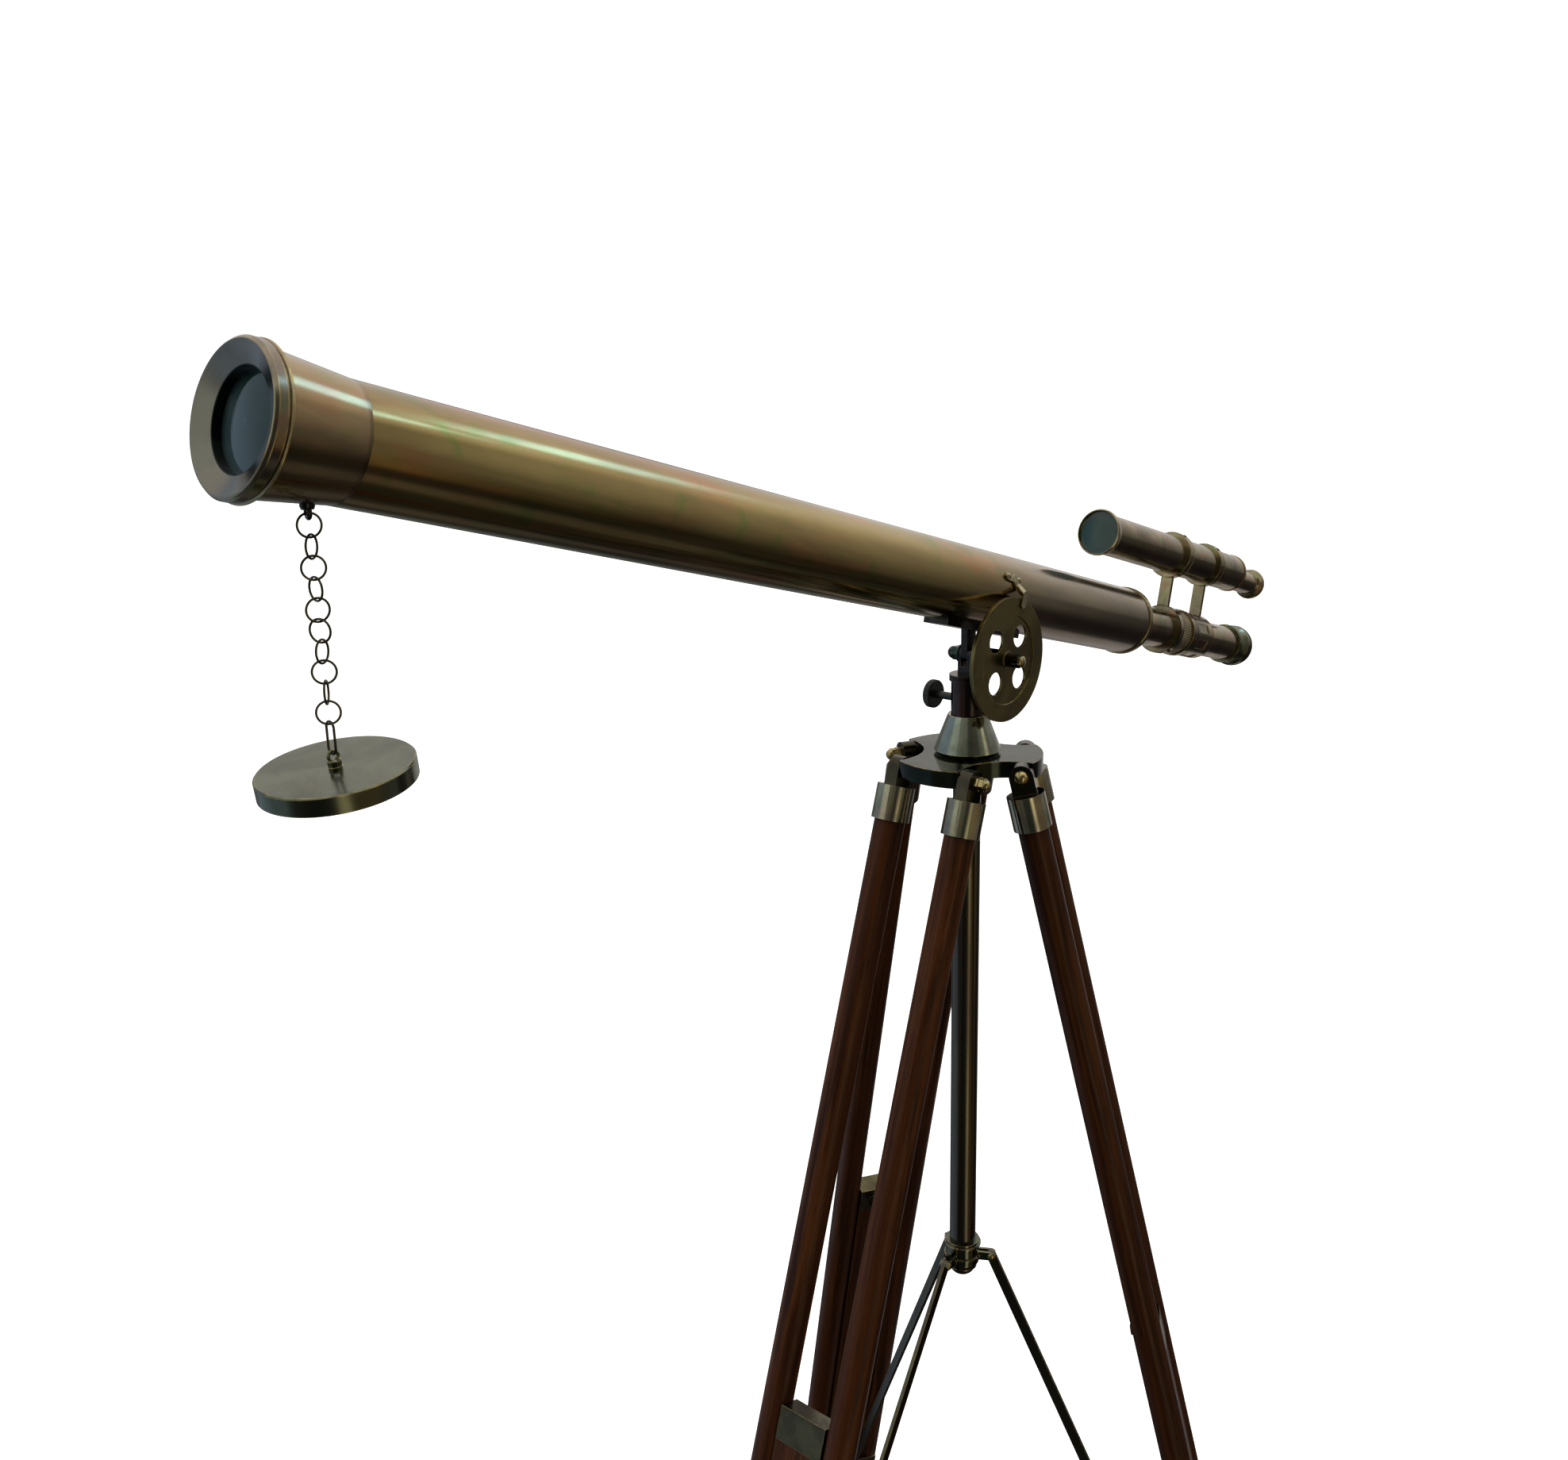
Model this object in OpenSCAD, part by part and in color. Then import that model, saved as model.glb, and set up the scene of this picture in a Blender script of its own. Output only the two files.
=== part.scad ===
// Antique brass refracting telescope with a finder, on a folding three-legged wooden stand.
// Millimetres. +Z is up and +X is the way the objective points. The origin is on the floor,
// under the middle of the whole outline.

/* [Stand] */
// height of the hub plate's top face above the floor
hub_top = 1150; // [1000:5:1300]
// where the centre column stands along X, measured from the outline's middle
column_x = -41.2; // [-80:0.1:0]
// where the centre column stands along Y, measured from the outline's middle
column_y = 35.3; // [0:0.1:60]
// how far the front leg leans out, in degrees
splay_front = 18.4; // [8:0.1:24]
// how far the leg on the wheel's side leans out, in degrees
splay_left = 13.2; // [8:0.1:24]
// how far the leg on the clamp knob's side leans out, in degrees
splay_right = 17; // [8:0.1:24]
// distance from the column's axis to the leg hinges
hinge_radius = 40; // [38:0.5:46]
// depth of the leg hinges under the hub's top face
hinge_drop = 8; // [6:0.5:16]
// distance between the two rails of a leg, centre to centre
rail_spacing = 60.5; // [56:0.5:66]
// radius of a rail's round outer side
rail_r = 11; // [8:0.5:14]
// distance from a rail's centre to its flat inner side
rail_flat = 10; // [6:0.5:10.5]
// distance from the hinge to a rail's lower end, along the leg
rail_end = 936; // [800:1:960]
// distance from the hinge to the upper end of the sliding foot, along the leg
slider_start = 459; // [350:1:600]
// distance from the hinge to the brace's bracket, along the leg
brace_reach = 876; // [700:1:890]
// depth of the brace collar's pins under the hub's top face
collar_drop = 409; // [300:1:500]

/* [Hub] */
// radius of the hub plate
hub_r = 53.9; // [50:0.1:60]
// thickness of the hub plate
hub_t = 12; // [10:0.5:18]
// distance from the axis to the centre of each round notch
notch_at = 67.3; // [60:0.1:72]
// radius of each round notch
notch_r = 36; // [30:0.1:40]
// radius of the cone at its widest, just over its foot
cone_r = 24; // [22:0.1:30]
// height of the cone
cone_h = 28.3; // [20:0.1:32]
// radius of the centre column
column_r = 10.1; // [8:0.1:13]

/* [Head] */
// height of the altitude pivot above the hub plate
pivot_up = 71.3; // [60:0.1:80]
// radius of the turning socket
socket_r = 11.9; // [10:0.1:14]
// height of the socket's top above the hub plate
socket_top = 57.4; // [50:0.1:62]
// radius of the altitude wheel
wheel_r = 43.5; // [38:0.1:48]
// distance from the tube's middle plane to the wheel's outer face
wheel_y = 33.8; // [31:0.1:38]
// radius of the holes in the wheel
wheel_hole_r = 8; // [5:0.1:9]
// distance from the wheel's centre to the holes' centres
wheel_hole_at = 20.7; // [18:0.1:24]

/* [Telescope] */
// elevation of the tube at rest, in degrees
elevation = 15; // [0:1:30]
// distance from the altitude pivot to the tube's axis
axis_up = 47.1; // [44:0.1:52]
// outer radius of the main tube over the pivot
tube_r = 26.75; // [24:0.05:30]
// growth of the tube's radius for each millimetre towards the objective
tube_taper = 0.003; // [0:0.0005:0.006]
// wall of the tubes
wall = 1.2; // [0.8:0.1:2]
// station of the seam between the tube and its flared hood, from the pivot
flare_start = 505; // [450:1:520]
// station of the objective ring's back edge
ring_start = 559.2; // [540:0.1:560]
// station of the objective ring's front rim
front_end = 568.4; // [560:0.1:580]
// station of the main tube's rear end
rear_end = -210; // [-240:1:-180]
// outer radius of the rear sleeve
sleeve_r = 16.4; // [14:0.1:18]
// outer radius of the sliding eye tube
eye_r = 15.2; // [12:0.1:16]
// station of the eyepiece's rear face
eye_end = -433.8; // [-460:0.1:-400]

/* [Finder] */
// distance from the main tube's axis to the finder's axis
finder_up = 62.8; // [56:0.1:70]
// outer radius of the finder tube
finder_r = 15.9; // [13:0.1:18]
// station of the finder's front rim
finder_front = -151.9; // [-180:0.1:-120]
// station of the finder tube's rear end
finder_rear = -393; // [-420:1:-370]

/* [Cap and chain] */
// distance of the hanging chain from the column's axis
chain_x = 505.5; // [480:0.5:520]
// height of the chain's top ring's centre above the hub plate
chain_top = 216.1; // [200:0.1:230]
// distance from one ring's centre to the next
link_pitch = 9.4; // [8:0.1:12]
// outer radius of the lens cap
cap_r = 36.6; // [34:0.1:40]
// depth of the lens cap
cap_depth = 9; // [6:0.1:14]
// tilt of the hanging cap about the Y axis, in degrees
cap_tilt_y = 7.3; // [-20:0.1:20]
// tilt of the hanging cap about the X axis, in degrees
cap_tilt_x = -2.2; // [-20:0.1:20]

/* [Hidden] */
$fn = 64;
brass = [0.55, 0.44, 0.22];
bronze = [0.36, 0.31, 0.19];
dark = [0.08, 0.08, 0.08];
wood = [0.23, 0.08, 0.04];
glass = [0.15, 0.3, 0.32];
rubber = [0.06, 0.06, 0.06];

legs = [0, 1, 2];
splay = [splay_front, splay_left, splay_right];
azimuth = [0, 120, 240];
run_fit = 0.05;       // radial clearance of every running fit
skin = 0.1;           // gap beside parts that slide past each other
dome_facets = 512;    // shallow domes are small arcs of large circles

bolt_r = 2.5;
ear_inner = 25.05;
ear_t = 10;
ear_r = 8.5;
arm_half = ear_inner - skin;
lug_r = 6.8;
ferrule_r = 13.6;
ferrule_top = 13;
ferrule_end = 38;
rail_top = 17;
slider_half = rail_spacing / 2 - rail_flat - skin;
slider_t = 16;
cap_end = slider_start + 24;
thumb_r = 4;
thumb_shift = 9;
guide_top = 911;
guide_end = 942;
guide_r = 13;
guide_knob_at = 926;
bracket_half = 14;
bracket_t = 2;
brace_t = 3;
brace_w = 7.6;
brace_eye_n = -22;
cheek_n = -27;
cheek_gap = 2.3;
boot_h = 36;

collar_r = 13;
lug_pin_at = 22.5;
pin_r = 1.6;
column_end = 418;
lug_gap = brace_t / 2 + skin;
lug_t = 2;

cone_foot_r = 21.6;
cone_top_r = 14.1;
spindle_r = 8;
spindle_top = 49.5;
knob_up = 38.5;
knob_r = 9.6;
knob_stem_r = 2.8;
knob_y = 27.6;
knob_t = 5;
pivot_r = 4;
fork_x = 5.5;
fork_y = 5.2;
tongue_x = 5.4;
tongue_y = 2.55;
wheel_web = 1.7;
wheel_t = 2.5;
wheel_step_r = 31.3;
strap_t = 1.4;
strap_at = tube_r + 0.2;      // distance of the strap's screwed pad from the tube's axis
strap_bend_at = tube_r + 0.55;
pivot_end = 46.5;
saddle_low = 30.3;
saddle_half = 45.8;
saddle_w = 10;

bead_r = 35.2;
groove_r = 33.9;
ring_r = 34.9;
rim_r = 33.3;
mouth_r = 23.1;
lens_r = 24.5;
lens_back = 554.2;
lens_face = 559.2;
flare_r0 = 28.45;
flare_r1 = 32.6;
cell_r = 30.1;
end_ring_r = 27.2;
ring_a = -279;
ring_a_end = -285;
ring_b = -305;
ring_b_end = -310;
sleeve_end = -346;
ring_big_r = 20.3;
barrel_r = 18.3;
band_r = 18.9;
panel_count = 8;
clamp_a = -276;
clamp_b = -338;
clamp_w = 7;
strut_t = 3.5;
strut_w = 10;
finder_eye_r = 9.9;
finder_eye_end = -448;
finder_eye_drop = 4;    // how far the finder's eyepiece sits under the finder's axis
finder_seat_r = finder_r + 0.45;

link_r = 5.35;
link_wire = 0.55;
link_turns = [74, 122, 69, -1, 79, 24, 119, 59, 139, 59];
upper_links = 5;
hook_top = 127.4;
hook_low = 112.1;
hook_half = 3;
hook_wire = 0.6;
eye_up = 5.9;
cap_wall = 0.8;
eye_ring_r = 2.4;
eye_wire = 1.2;
eye_rest = 2.1;         // the lug's eye hangs this far into the first ring
chain_eye = [chain_x, 0, chain_top + link_r + eye_ring_r - eye_rest];

function leg_length(i) = (hub_top - hinge_drop) / cos(splay[i]);
function tube_radius(s) = tube_r + tube_taper * s;

// a brace's outer end at rest, as [distance from the column, height from the hub's top]
function brace_out(i) = [
    hinge_radius + brace_reach * sin(splay[i]) + brace_eye_n * cos(splay[i]),
    -hinge_drop - brace_reach * cos(splay[i]) + brace_eye_n * sin(splay[i])
];
function brace_length(i) = norm(brace_out(i) - [lug_pin_at, -collar_drop]);
function brace_angle(i) = atan2(brace_out(i)[0] - lug_pin_at, -collar_drop - brace_out(i)[1]);

// ---- frames ----

// the middle of the hub plate's top face
module at_hub() {
    translate([column_x, column_y, hub_top])
        children();
}

// a leg's hinge: -Z runs down the leg, +X points outward, Y runs along the hinge bolt
module at_leg(i) {
    at_hub()
        rotate([0, 0, azimuth[i]])
            translate([hinge_radius, 0, -hinge_drop])
                rotate([0, -splay[i], 0])
                    children();
}

// the altitude pivot, level with the world
module at_pivot() {
    at_hub()
        translate([0, 0, pivot_up])
            children();
}

// the tube's axis over the pivot: +X runs towards the objective
module on_axis() {
    at_pivot()
        rotate([0, -elevation, 0])
            translate([0, 0, axis_up])
                children();
}

// the same axis with +Z towards the objective, for turned shapes
module turned() {
    on_axis()
        rotate([0, 90, 0])
            children();
}

module finder_turned() {
    on_axis()
        translate([0, 0, finder_up])
            rotate([0, 90, 0])
                children();
}

// the cap's outer face, tilted as it hangs from the hook
module at_cap() {
    at_hub()
        translate([chain_x, 0, hook_low])
            rotate([cap_tilt_x, cap_tilt_y, 0])
                translate([0, 0, -eye_up])
                    children();
}

// ---- shapes used more than once ----

module pipe(z0, z1, outer, inner) {
    translate([0, 0, z0])
        difference() {
            cylinder(r = outer, h = z1 - z0);
            translate([0, 0, -1])
                cylinder(r = inner, h = z1 - z0 + 2);
        }
}

// a rod along Y
module rod_y(y0, y1, r) {
    translate([0, y1, 0])
        rotate([90, 0, 0])
            cylinder(r = r, h = y1 - y0);
}

// a shallow round head that grows along +Y from the origin
module dome_y(r, h) {
    rotate([-90, 0, 0])
        rotate_extrude()
            intersection() {
                translate([0, h - (r * r + h * h) / (2 * h)])
                    circle(r = (r * r + h * h) / (2 * h), $fn = dome_facets);
                square([r, h]);
            }
}

module hex_y(y0, y1, r) {
    translate([0, y1, 0])
        rotate([90, 0, 0])
            cylinder(r = r, h = y1 - y0, $fn = 6);
}

// the half-round section of one rail, on the +Y side of the leg
module rail_section() {
    intersection() {
        translate([0, rail_spacing / 2])
            circle(r = rail_r);
        translate([-rail_r, rail_spacing / 2 - rail_flat])
            square([2 * rail_r, rail_flat + rail_r]);
    }
}

module both_sides() {
    children();
    mirror([0, 1, 0])
        children();
}

// a plain ring of wire standing upright, turned about the vertical
module wire_ring(r, wire, turn) {
    rotate([0, 0, turn])
        rotate([0, 90, 0])
            rotate_extrude()
                translate([r, 0])
                    circle(r = wire);
}

// a knob whose stem runs from x0 and whose round head fills x1 to x2
module knob_x(x0, x1, x2, stem, head) {
    rotate([0, 90, 0]) {
        translate([0, 0, x0])
            cylinder(r = stem, h = x1 - x0);
        translate([0, 0, x1])
            cylinder(r = head, h = x2 - x1);
    }
}

// ---- hub ----

module hub_outline() {
    difference() {
        circle(r = hub_r);
        for (a = azimuth)
            rotate(a + 60)
                translate([notch_at, 0])
                    circle(r = notch_r);
    }
}

module hub_plate() {
    color(bronze)
        at_hub()
            difference() {
                union() {
                    translate([0, 0, -hub_t])
                        linear_extrude(hub_t)
                            hub_outline();
                    for (a = azimuth)
                        rotate([0, 0, a])
                            translate([hinge_radius, 0, -hinge_drop])
                                rod_y(-arm_half, arm_half, lug_r);
                }
                for (a = azimuth)
                    rotate([0, 0, a]) {
                        both_sides()
                            translate([hinge_radius - 12, arm_half, -hub_t - 9])
                                cube([30, 30, hub_t + 10]);
                        translate([hinge_radius, 0, -hinge_drop])
                            rod_y(-arm_half - 1, arm_half + 1, bolt_r);
                    }
                translate([0, 0, -hub_t - 1])
                    cylinder(r = column_r, h = hub_t - 4);
            }
}

// the cone, and standing on it the spindle that the socket turns on
module hub_cone() {
    color(bronze)
        at_hub() {
            rotate_extrude()
                polygon([
                    [0, 0], [cone_foot_r, 0], [cone_r, 2.7], [cone_top_r + 0.2, cone_h - 0.6],
                    [cone_top_r, cone_h], [0, cone_h]
                ]);
            translate([0, 0, cone_h + skin])
                cylinder(r = spindle_r, h = spindle_top - cone_h - skin);
        }
}

module centre_column() {
    color(bronze)
        at_hub()
            translate([0, 0, -column_end])
                cylinder(r = column_r, h = column_end - 5);
}

// a retaining ring and a rounded end
module column_end_cap() {
    color(bronze)
        at_hub()
            translate([0, 0, -column_end])
                rotate_extrude()
                    union() {
                        translate([0, -1.5])
                            square([column_r + 1.2, 1.5]);
                        intersection() {
                            translate([0, -1])
                                scale([1, 0.8])
                                    circle(r = column_r);
                            translate([0, -12])
                                square([column_r, 12]);
                        }
                    }
}

// round heads on one side of each arm, a hexagon nut and a domed nut on the other
module leg_bolts() {
    head_at = ear_inner + ear_t + skin;
    color(brass)
        at_hub()
            for (a = azimuth)
                rotate([0, 0, a])
                    translate([hinge_radius, 0, -hinge_drop]) {
                        rod_y(-head_at, head_at, bolt_r);
                        mirror([0, 1, 0])
                            translate([0, head_at, 0])
                                dome_y(5.2, 3.8);
                        hex_y(head_at, head_at + 3.6, 5.2);
                        hex_y(head_at + 4.2, head_at + 7.6, 4.8);
                        rod_y(head_at + 3.6, head_at + 4.2, 3.6);
                        translate([0, head_at + 7.6, 0])
                            dome_y(4.1, 3.6);
                    }
}

// ---- braces ----

module brace_collar() {
    color(bronze)
        at_hub()
            translate([0, 0, -collar_drop])
                difference() {
                    union() {
                        translate([0, 0, -6])
                            cylinder(r = collar_r, h = 19);
                        translate([0, 0, 9])
                            cylinder(r = collar_r + 1.3, h = 1.6);
                        translate([0, 0, -1])
                            cylinder(r = collar_r + 1.3, h = 1.6);
                        for (a = azimuth)
                            rotate([0, 0, a])
                                both_sides()
                                    translate([column_r + 1, lug_gap, -3.4])
                                        cube([lug_pin_at - column_r - 1, lug_t, 6.8]);
                        for (a = azimuth)
                            rotate([0, 0, a])
                                translate([lug_pin_at, 0, 0])
                                    both_sides()
                                        rod_y(lug_gap, lug_gap + lug_t, 3.4);
                    }
                    translate([0, 0, -20])
                        cylinder(r = column_r + run_fit, h = 50);
                    for (a = azimuth)
                        rotate([0, 0, a])
                            translate([lug_pin_at, 0, 0])
                                rod_y(-10, 10, pin_r);
                }
}

module brace_pins() {
    color(brass)
        at_hub()
            translate([0, 0, -collar_drop])
                for (a = azimuth)
                    rotate([0, 0, a])
                        translate([lug_pin_at, 0, 0]) {
                            rod_y(-lug_gap - lug_t, lug_gap + lug_t, pin_r);
                            both_sides()
                                translate([0, lug_gap + lug_t, 0])
                                    dome_y(2.8, 1.3);
                        }
}

// a flat bar with a round eye at each end
module brace(i) {
    color(bronze)
        at_hub()
            rotate([0, 0, azimuth[i]])
                translate([lug_pin_at, 0, -collar_drop])
                    rotate([0, -brace_angle(i), 0])
                        difference() {
                            union() {
                                rod_y(-brace_t / 2, brace_t / 2, brace_w / 2);
                                translate([-brace_w / 2, -brace_t / 2, -brace_length(i)])
                                    cube([brace_w, brace_t, brace_length(i)]);
                                translate([0, 0, -brace_length(i)])
                                    rod_y(-brace_t / 2, brace_t / 2, brace_w / 2);
                            }
                            rod_y(-5, 5, pin_r + run_fit);
                            translate([0, 0, -brace_length(i)])
                                rod_y(-5, 5, pin_r);
                        }
}

// ---- legs ----

module leg_rails(i) {
    color(wood)
        at_leg(i)
            translate([0, 0, -rail_end])
                both_sides()
                    linear_extrude(rail_end - rail_top)
                        rail_section();
}

// a turned sleeve on top of each rail, with a round-topped ear for the hinge bolt
module leg_ferrules(i) {
    color(brass)
        at_leg(i)
            both_sides() {
                difference() {
                    translate([0, rail_spacing / 2, -ferrule_end])
                        cylinder(r = ferrule_r, h = ferrule_end - ferrule_top);
                    translate([0, 0, -ferrule_end - 1])
                        linear_extrude(ferrule_end + 1 - rail_top)
                            rail_section();
                }
                difference() {
                    union() {
                        rod_y(ear_inner, ear_inner + ear_t, ear_r);
                        translate([-ear_r, ear_inner, -ferrule_top])
                            cube([2 * ear_r, ear_t, ferrule_top]);
                    }
                    rod_y(ear_inner - 1, ear_inner + ear_t + 1, bolt_r + run_fit);
                }
            }
}

// the brace's bracket across the rails, and the guide that holds rails and slider together
module leg_brackets(i) {
    color(brass)
        at_leg(i) {
            translate([0, 0, -brace_reach])
                brace_bracket();
            slider_guide();
        }
}

module brace_bracket() {
    plate_half = rail_spacing / 2 + 6;
    translate([-rail_r - bracket_t, -plate_half, -bracket_half])
        cube([bracket_t, 2 * plate_half, 2 * bracket_half]);
    both_sides() {
        translate([cheek_n, cheek_gap, -bracket_half])
            cube([-rail_r - cheek_n, bracket_t, 2 * bracket_half]);
        translate([brace_eye_n, cheek_gap + bracket_t, 0])
            dome_y(4, 1.6);
        translate([-rail_r - bracket_t, rail_spacing / 2, 0])
            rotate([0, 0, 90])
                dome_y(3.2, 1.5);
    }
}

module slider_guide() {
    difference() {
        translate([0, 0, -guide_end])
            linear_extrude(guide_end - guide_top)
                difference() {
                    union() {
                        both_sides()
                            translate([0, rail_spacing / 2])
                                circle(r = guide_r);
                        translate([-guide_r, -rail_spacing / 2])
                            square([2 * guide_r, rail_spacing]);
                    }
                    translate([-slider_t / 2 - skin, -slider_half - skin])
                        square([slider_t + 2 * skin, 2 * (slider_half + skin)]);
                }
        translate([0, 0, -rail_end])
            linear_extrude(rail_end)
                both_sides()
                    rail_section();
        translate([0, 0, -guide_knob_at])
            rotate([0, 90, 0])
                cylinder(r = 3 + run_fit, h = 30);
    }
}

// the screw that clamps the slider in its guide
module leg_knob(i) {
    color(dark)
        at_leg(i)
            translate([0, 0, -guide_knob_at])
                knob_x(slider_t / 2 + 2 * skin, guide_r + 4, guide_r + 13, 3, 9);
}

module leg_slider(i) {
    color(wood)
        at_leg(i)
            translate([-slider_t / 2, -slider_half, -leg_length(i) + 8])
                cube([slider_t, 2 * slider_half, leg_length(i) - 8 - cap_end - skin / 2]);
}

// a brass end on the slider, with a small thumb bolt on the inner side
module leg_slider_cap(i) {
    color(brass)
        at_leg(i) {
            translate([-slider_t / 2 - 0.5, -slider_half, -cap_end])
                cube([slider_t + 1, 2 * slider_half, cap_end - slider_start]);
            translate([-slider_t / 2 - 0.5, thumb_shift, -slider_start - 12])
                rotate([0, -90, 0])
                    cylinder(r = thumb_r, h = 8);
        }
}

// a rubber boot on the slider's end, cut level where it stands on the floor
module leg_foot(i) {
    boot_x = slider_t / 2 + 3.5;
    boot_y = slider_half + 3.5;
    color(rubber)
        difference() {
            at_leg(i)
                difference() {
                    translate([-boot_x, -boot_y, -leg_length(i) - 8])
                        cube([2 * boot_x, 2 * boot_y, boot_h + 8]);
                    translate([-slider_t / 2, -slider_half, -leg_length(i) + 8])
                        cube([slider_t, 2 * slider_half, boot_h]);
                }
            translate([-700, -700, -60])
                cube([1400, 1400, 60]);
        }
}

// ---- turning head ----

module pan_socket() {
    color(dark)
        at_hub()
            difference() {
                union() {
                    translate([0, 0, cone_h + skin])
                        cylinder(r = socket_r, h = socket_top - cone_h - skin);
                    translate([0, 0, socket_top - 4.6])
                        cylinder(r = socket_r + 1.4, h = 4.6);
                }
                translate([0, 0, cone_h - 1])
                    cylinder(r = spindle_r + run_fit, h = spindle_top - cone_h + 1.5);
                translate([0, 0, knob_up])
                    rod_y(-socket_r - 3, 0, knob_stem_r + run_fit);
            }
}

// two cheeks that hold the saddle's tongue
module pan_fork() {
    color(dark)
        at_hub()
            difference() {
                union() {
                    translate([-fork_x, -fork_y, socket_top])
                        cube([2 * fork_x, 2 * fork_y, pivot_up - socket_top]);
                    translate([0, 0, pivot_up])
                        rod_y(-fork_y, fork_y, fork_x);
                }
                translate([-fork_x - 2, -tongue_y - run_fit, socket_top + 6])
                    cube([2 * fork_x + 4, 2 * (tongue_y + run_fit), 40]);
                translate([0, 0, pivot_up])
                    rod_y(-fork_y - 1, fork_y + 1, pivot_r);
            }
}

module pan_clamp_knob() {
    color(dark)
        at_hub()
            translate([0, 0, knob_up])
                rotate([0, 0, -90])
                    knob_x(spindle_r + 2 * skin, knob_y, knob_y + knob_t, knob_stem_r, knob_r);
}

// the pivot shaft, round-ended where it stands out of the wheel
module pivot_bolt() {
    color(brass)
        at_pivot() {
            rod_y(-8, pivot_end - 1.5, pivot_r);
            translate([0, pivot_end - 1.5, 0])
                dome_y(pivot_r, 1.5);
            rod_y(wheel_y + 2 * skin, pivot_end - 4, pivot_r + 0.8);
        }
}

module pivot_nut() {
    color(dark)
        at_pivot()
            mirror([0, 1, 0]) {
                difference() {
                    union() {
                        rod_y(fork_y, fork_y + 1.4, 6.4);
                        hex_y(fork_y + 1.4, fork_y + 6.4, 5.4);
                        translate([0, fork_y + 6.4, 0])
                            dome_y(4.7, 5);
                    }
                    rod_y(0, 8, pivot_r);
                }
            }
}

module wheel_spacer() {
    color(dark)
        at_pivot()
            difference() {
                rod_y(fork_y, wheel_y - wheel_t - skin, 6.5);
                rod_y(0, wheel_y, pivot_r);
            }
}

// ---- tube ----

module altitude_wheel() {
    color(bronze)
        at_pivot()
            rotate([0, -elevation, 0])
                difference() {
                    union() {
                        rod_y(wheel_y - wheel_t, wheel_y - wheel_t + wheel_web, wheel_r - 1);
                        rod_y(wheel_y - wheel_t, wheel_y, 6);
                        difference() {
                            rod_y(wheel_y - wheel_t, wheel_y, wheel_r);
                            rod_y(wheel_y - wheel_t - 1, wheel_y + 1, wheel_step_r);
                        }
                    }
                    rod_y(0, wheel_y + 1, pivot_r + run_fit);
                    for (a = [31.2 : 90 : 301.2])
                        rotate([0, -a, 0])
                            translate([wheel_hole_at, 0, 0])
                                rod_y(0, wheel_y + 1, wheel_hole_r);
                }
}

// a small flat spot of the wheel's strap, facing outward
module strap_spot(s, y, z, r, lean) {
    translate([s, y, z])
        rotate([lean, 0, 0])
            rod_y(0, strap_t, r);
}

// a spot beside the tube, round its axis by an angle
module strap_round(s, radius, angle, r) {
    strap_spot(s, radius * cos(angle), radius * sin(angle), r, angle);
}

module strap_screw(s, angle) {
    rotate([angle, 0, 0])
        translate([s, strap_at + strap_t - 0.2, 0])
            dome_y(2.2, 1.6);
}

// a bent strap from two screws on the tube's side down to the wheel's face
module wheel_bracket() {
    color(brass)
        on_axis() {
            hull() {
                strap_round(5.1, strap_at, 21, 3);
                strap_round(-7.5, strap_at, 18, 3);
            }
            hull() {
                strap_round(-2, strap_bend_at, 19, 2.6);
                strap_round(-6.4, strap_bend_at, 8, 2.6);
            }
            hull() {
                strap_round(-6.4, strap_bend_at, 8, 2.6);
                strap_spot(-5.8, wheel_y + skin, -0.8, 2.4, 0);
            }
            hull() {
                strap_spot(-5.8, wheel_y + skin, -0.8, 2.4, 0);
                strap_spot(-5.8, wheel_y + skin, -8, 2.6, 0);
            }
            strap_screw(5.1, 21);
            strap_screw(-7.5, 18);
        }
}

// the outside of the main tube, a slow cone
module tube_body(s0, s1, inset) {
    translate([0, 0, s0])
        cylinder(r1 = tube_radius(s0) - inset, r2 = tube_radius(s1) - inset, h = s1 - s0);
}

module saddle() {
    color(dark)
        difference() {
            union() {
                on_axis()
                    translate([-saddle_half, -saddle_w, -saddle_low])
                        cube([2 * saddle_half, 2 * saddle_w, 8]);
                at_pivot() {
                    rod_y(-tongue_y, tongue_y, tongue_x);
                    translate([-tongue_x, -tongue_y, 0])
                        cube([2 * tongue_x, 2 * tongue_y, 20]);
                }
            }
            turned()
                tube_body(-60, 60, 0);
            at_pivot()
                rod_y(-5, 5, pivot_r + run_fit);
        }
}

module main_tube() {
    color(brass)
        turned()
            difference() {
                tube_body(rear_end, flare_start, 0);
                tube_body(rear_end - 1, flare_start + 1, wall);
            }
}

module flared_hood() {
    color(brass)
        turned()
            rotate_extrude()
                polygon([
                    [flare_r0 - wall - 0.2, flare_start], [flare_r0, flare_start],
                    [flare_r0 + 0.1, flare_start + 2], [flare_r1, ring_start],
                    [flare_r1 - wall, ring_start]
                ]);
}

// bead, groove and plain band around a dished face, with the lens cell behind
module objective_ring() {
    color(brass)
        turned()
            rotate_extrude()
                polygon([
                    [cell_r, lens_back - 2.5], [cell_r, ring_start], [bead_r - 0.8, ring_start],
                    [bead_r, ring_start + 0.6], [bead_r, ring_start + 1.6], [groove_r, ring_start + 2.3],
                    [groove_r, ring_start + 3], [ring_r, ring_start + 3.3], [ring_r, front_end - 1.8],
                    [rim_r + 0.5, front_end - 0.4], [rim_r - 0.2, front_end], [mouth_r, front_end - 4.6],
                    [mouth_r, lens_face], [lens_r, lens_face], [lens_r, lens_back - 2.5]
                ]);
}

// an outward bulge on both faces
module lens_shape(r, s0, s1, bulge) {
    translate([0, 0, s0])
        cylinder(r = r, h = s1 - s0);
    translate([0, 0, s1])
        rotate([90, 0, 0])
            dome_y(r - 1.5, bulge);
}

module objective_lens() {
    color(glass)
        turned()
            lens_shape(lens_r, lens_back, lens_face, 2);
}

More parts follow.
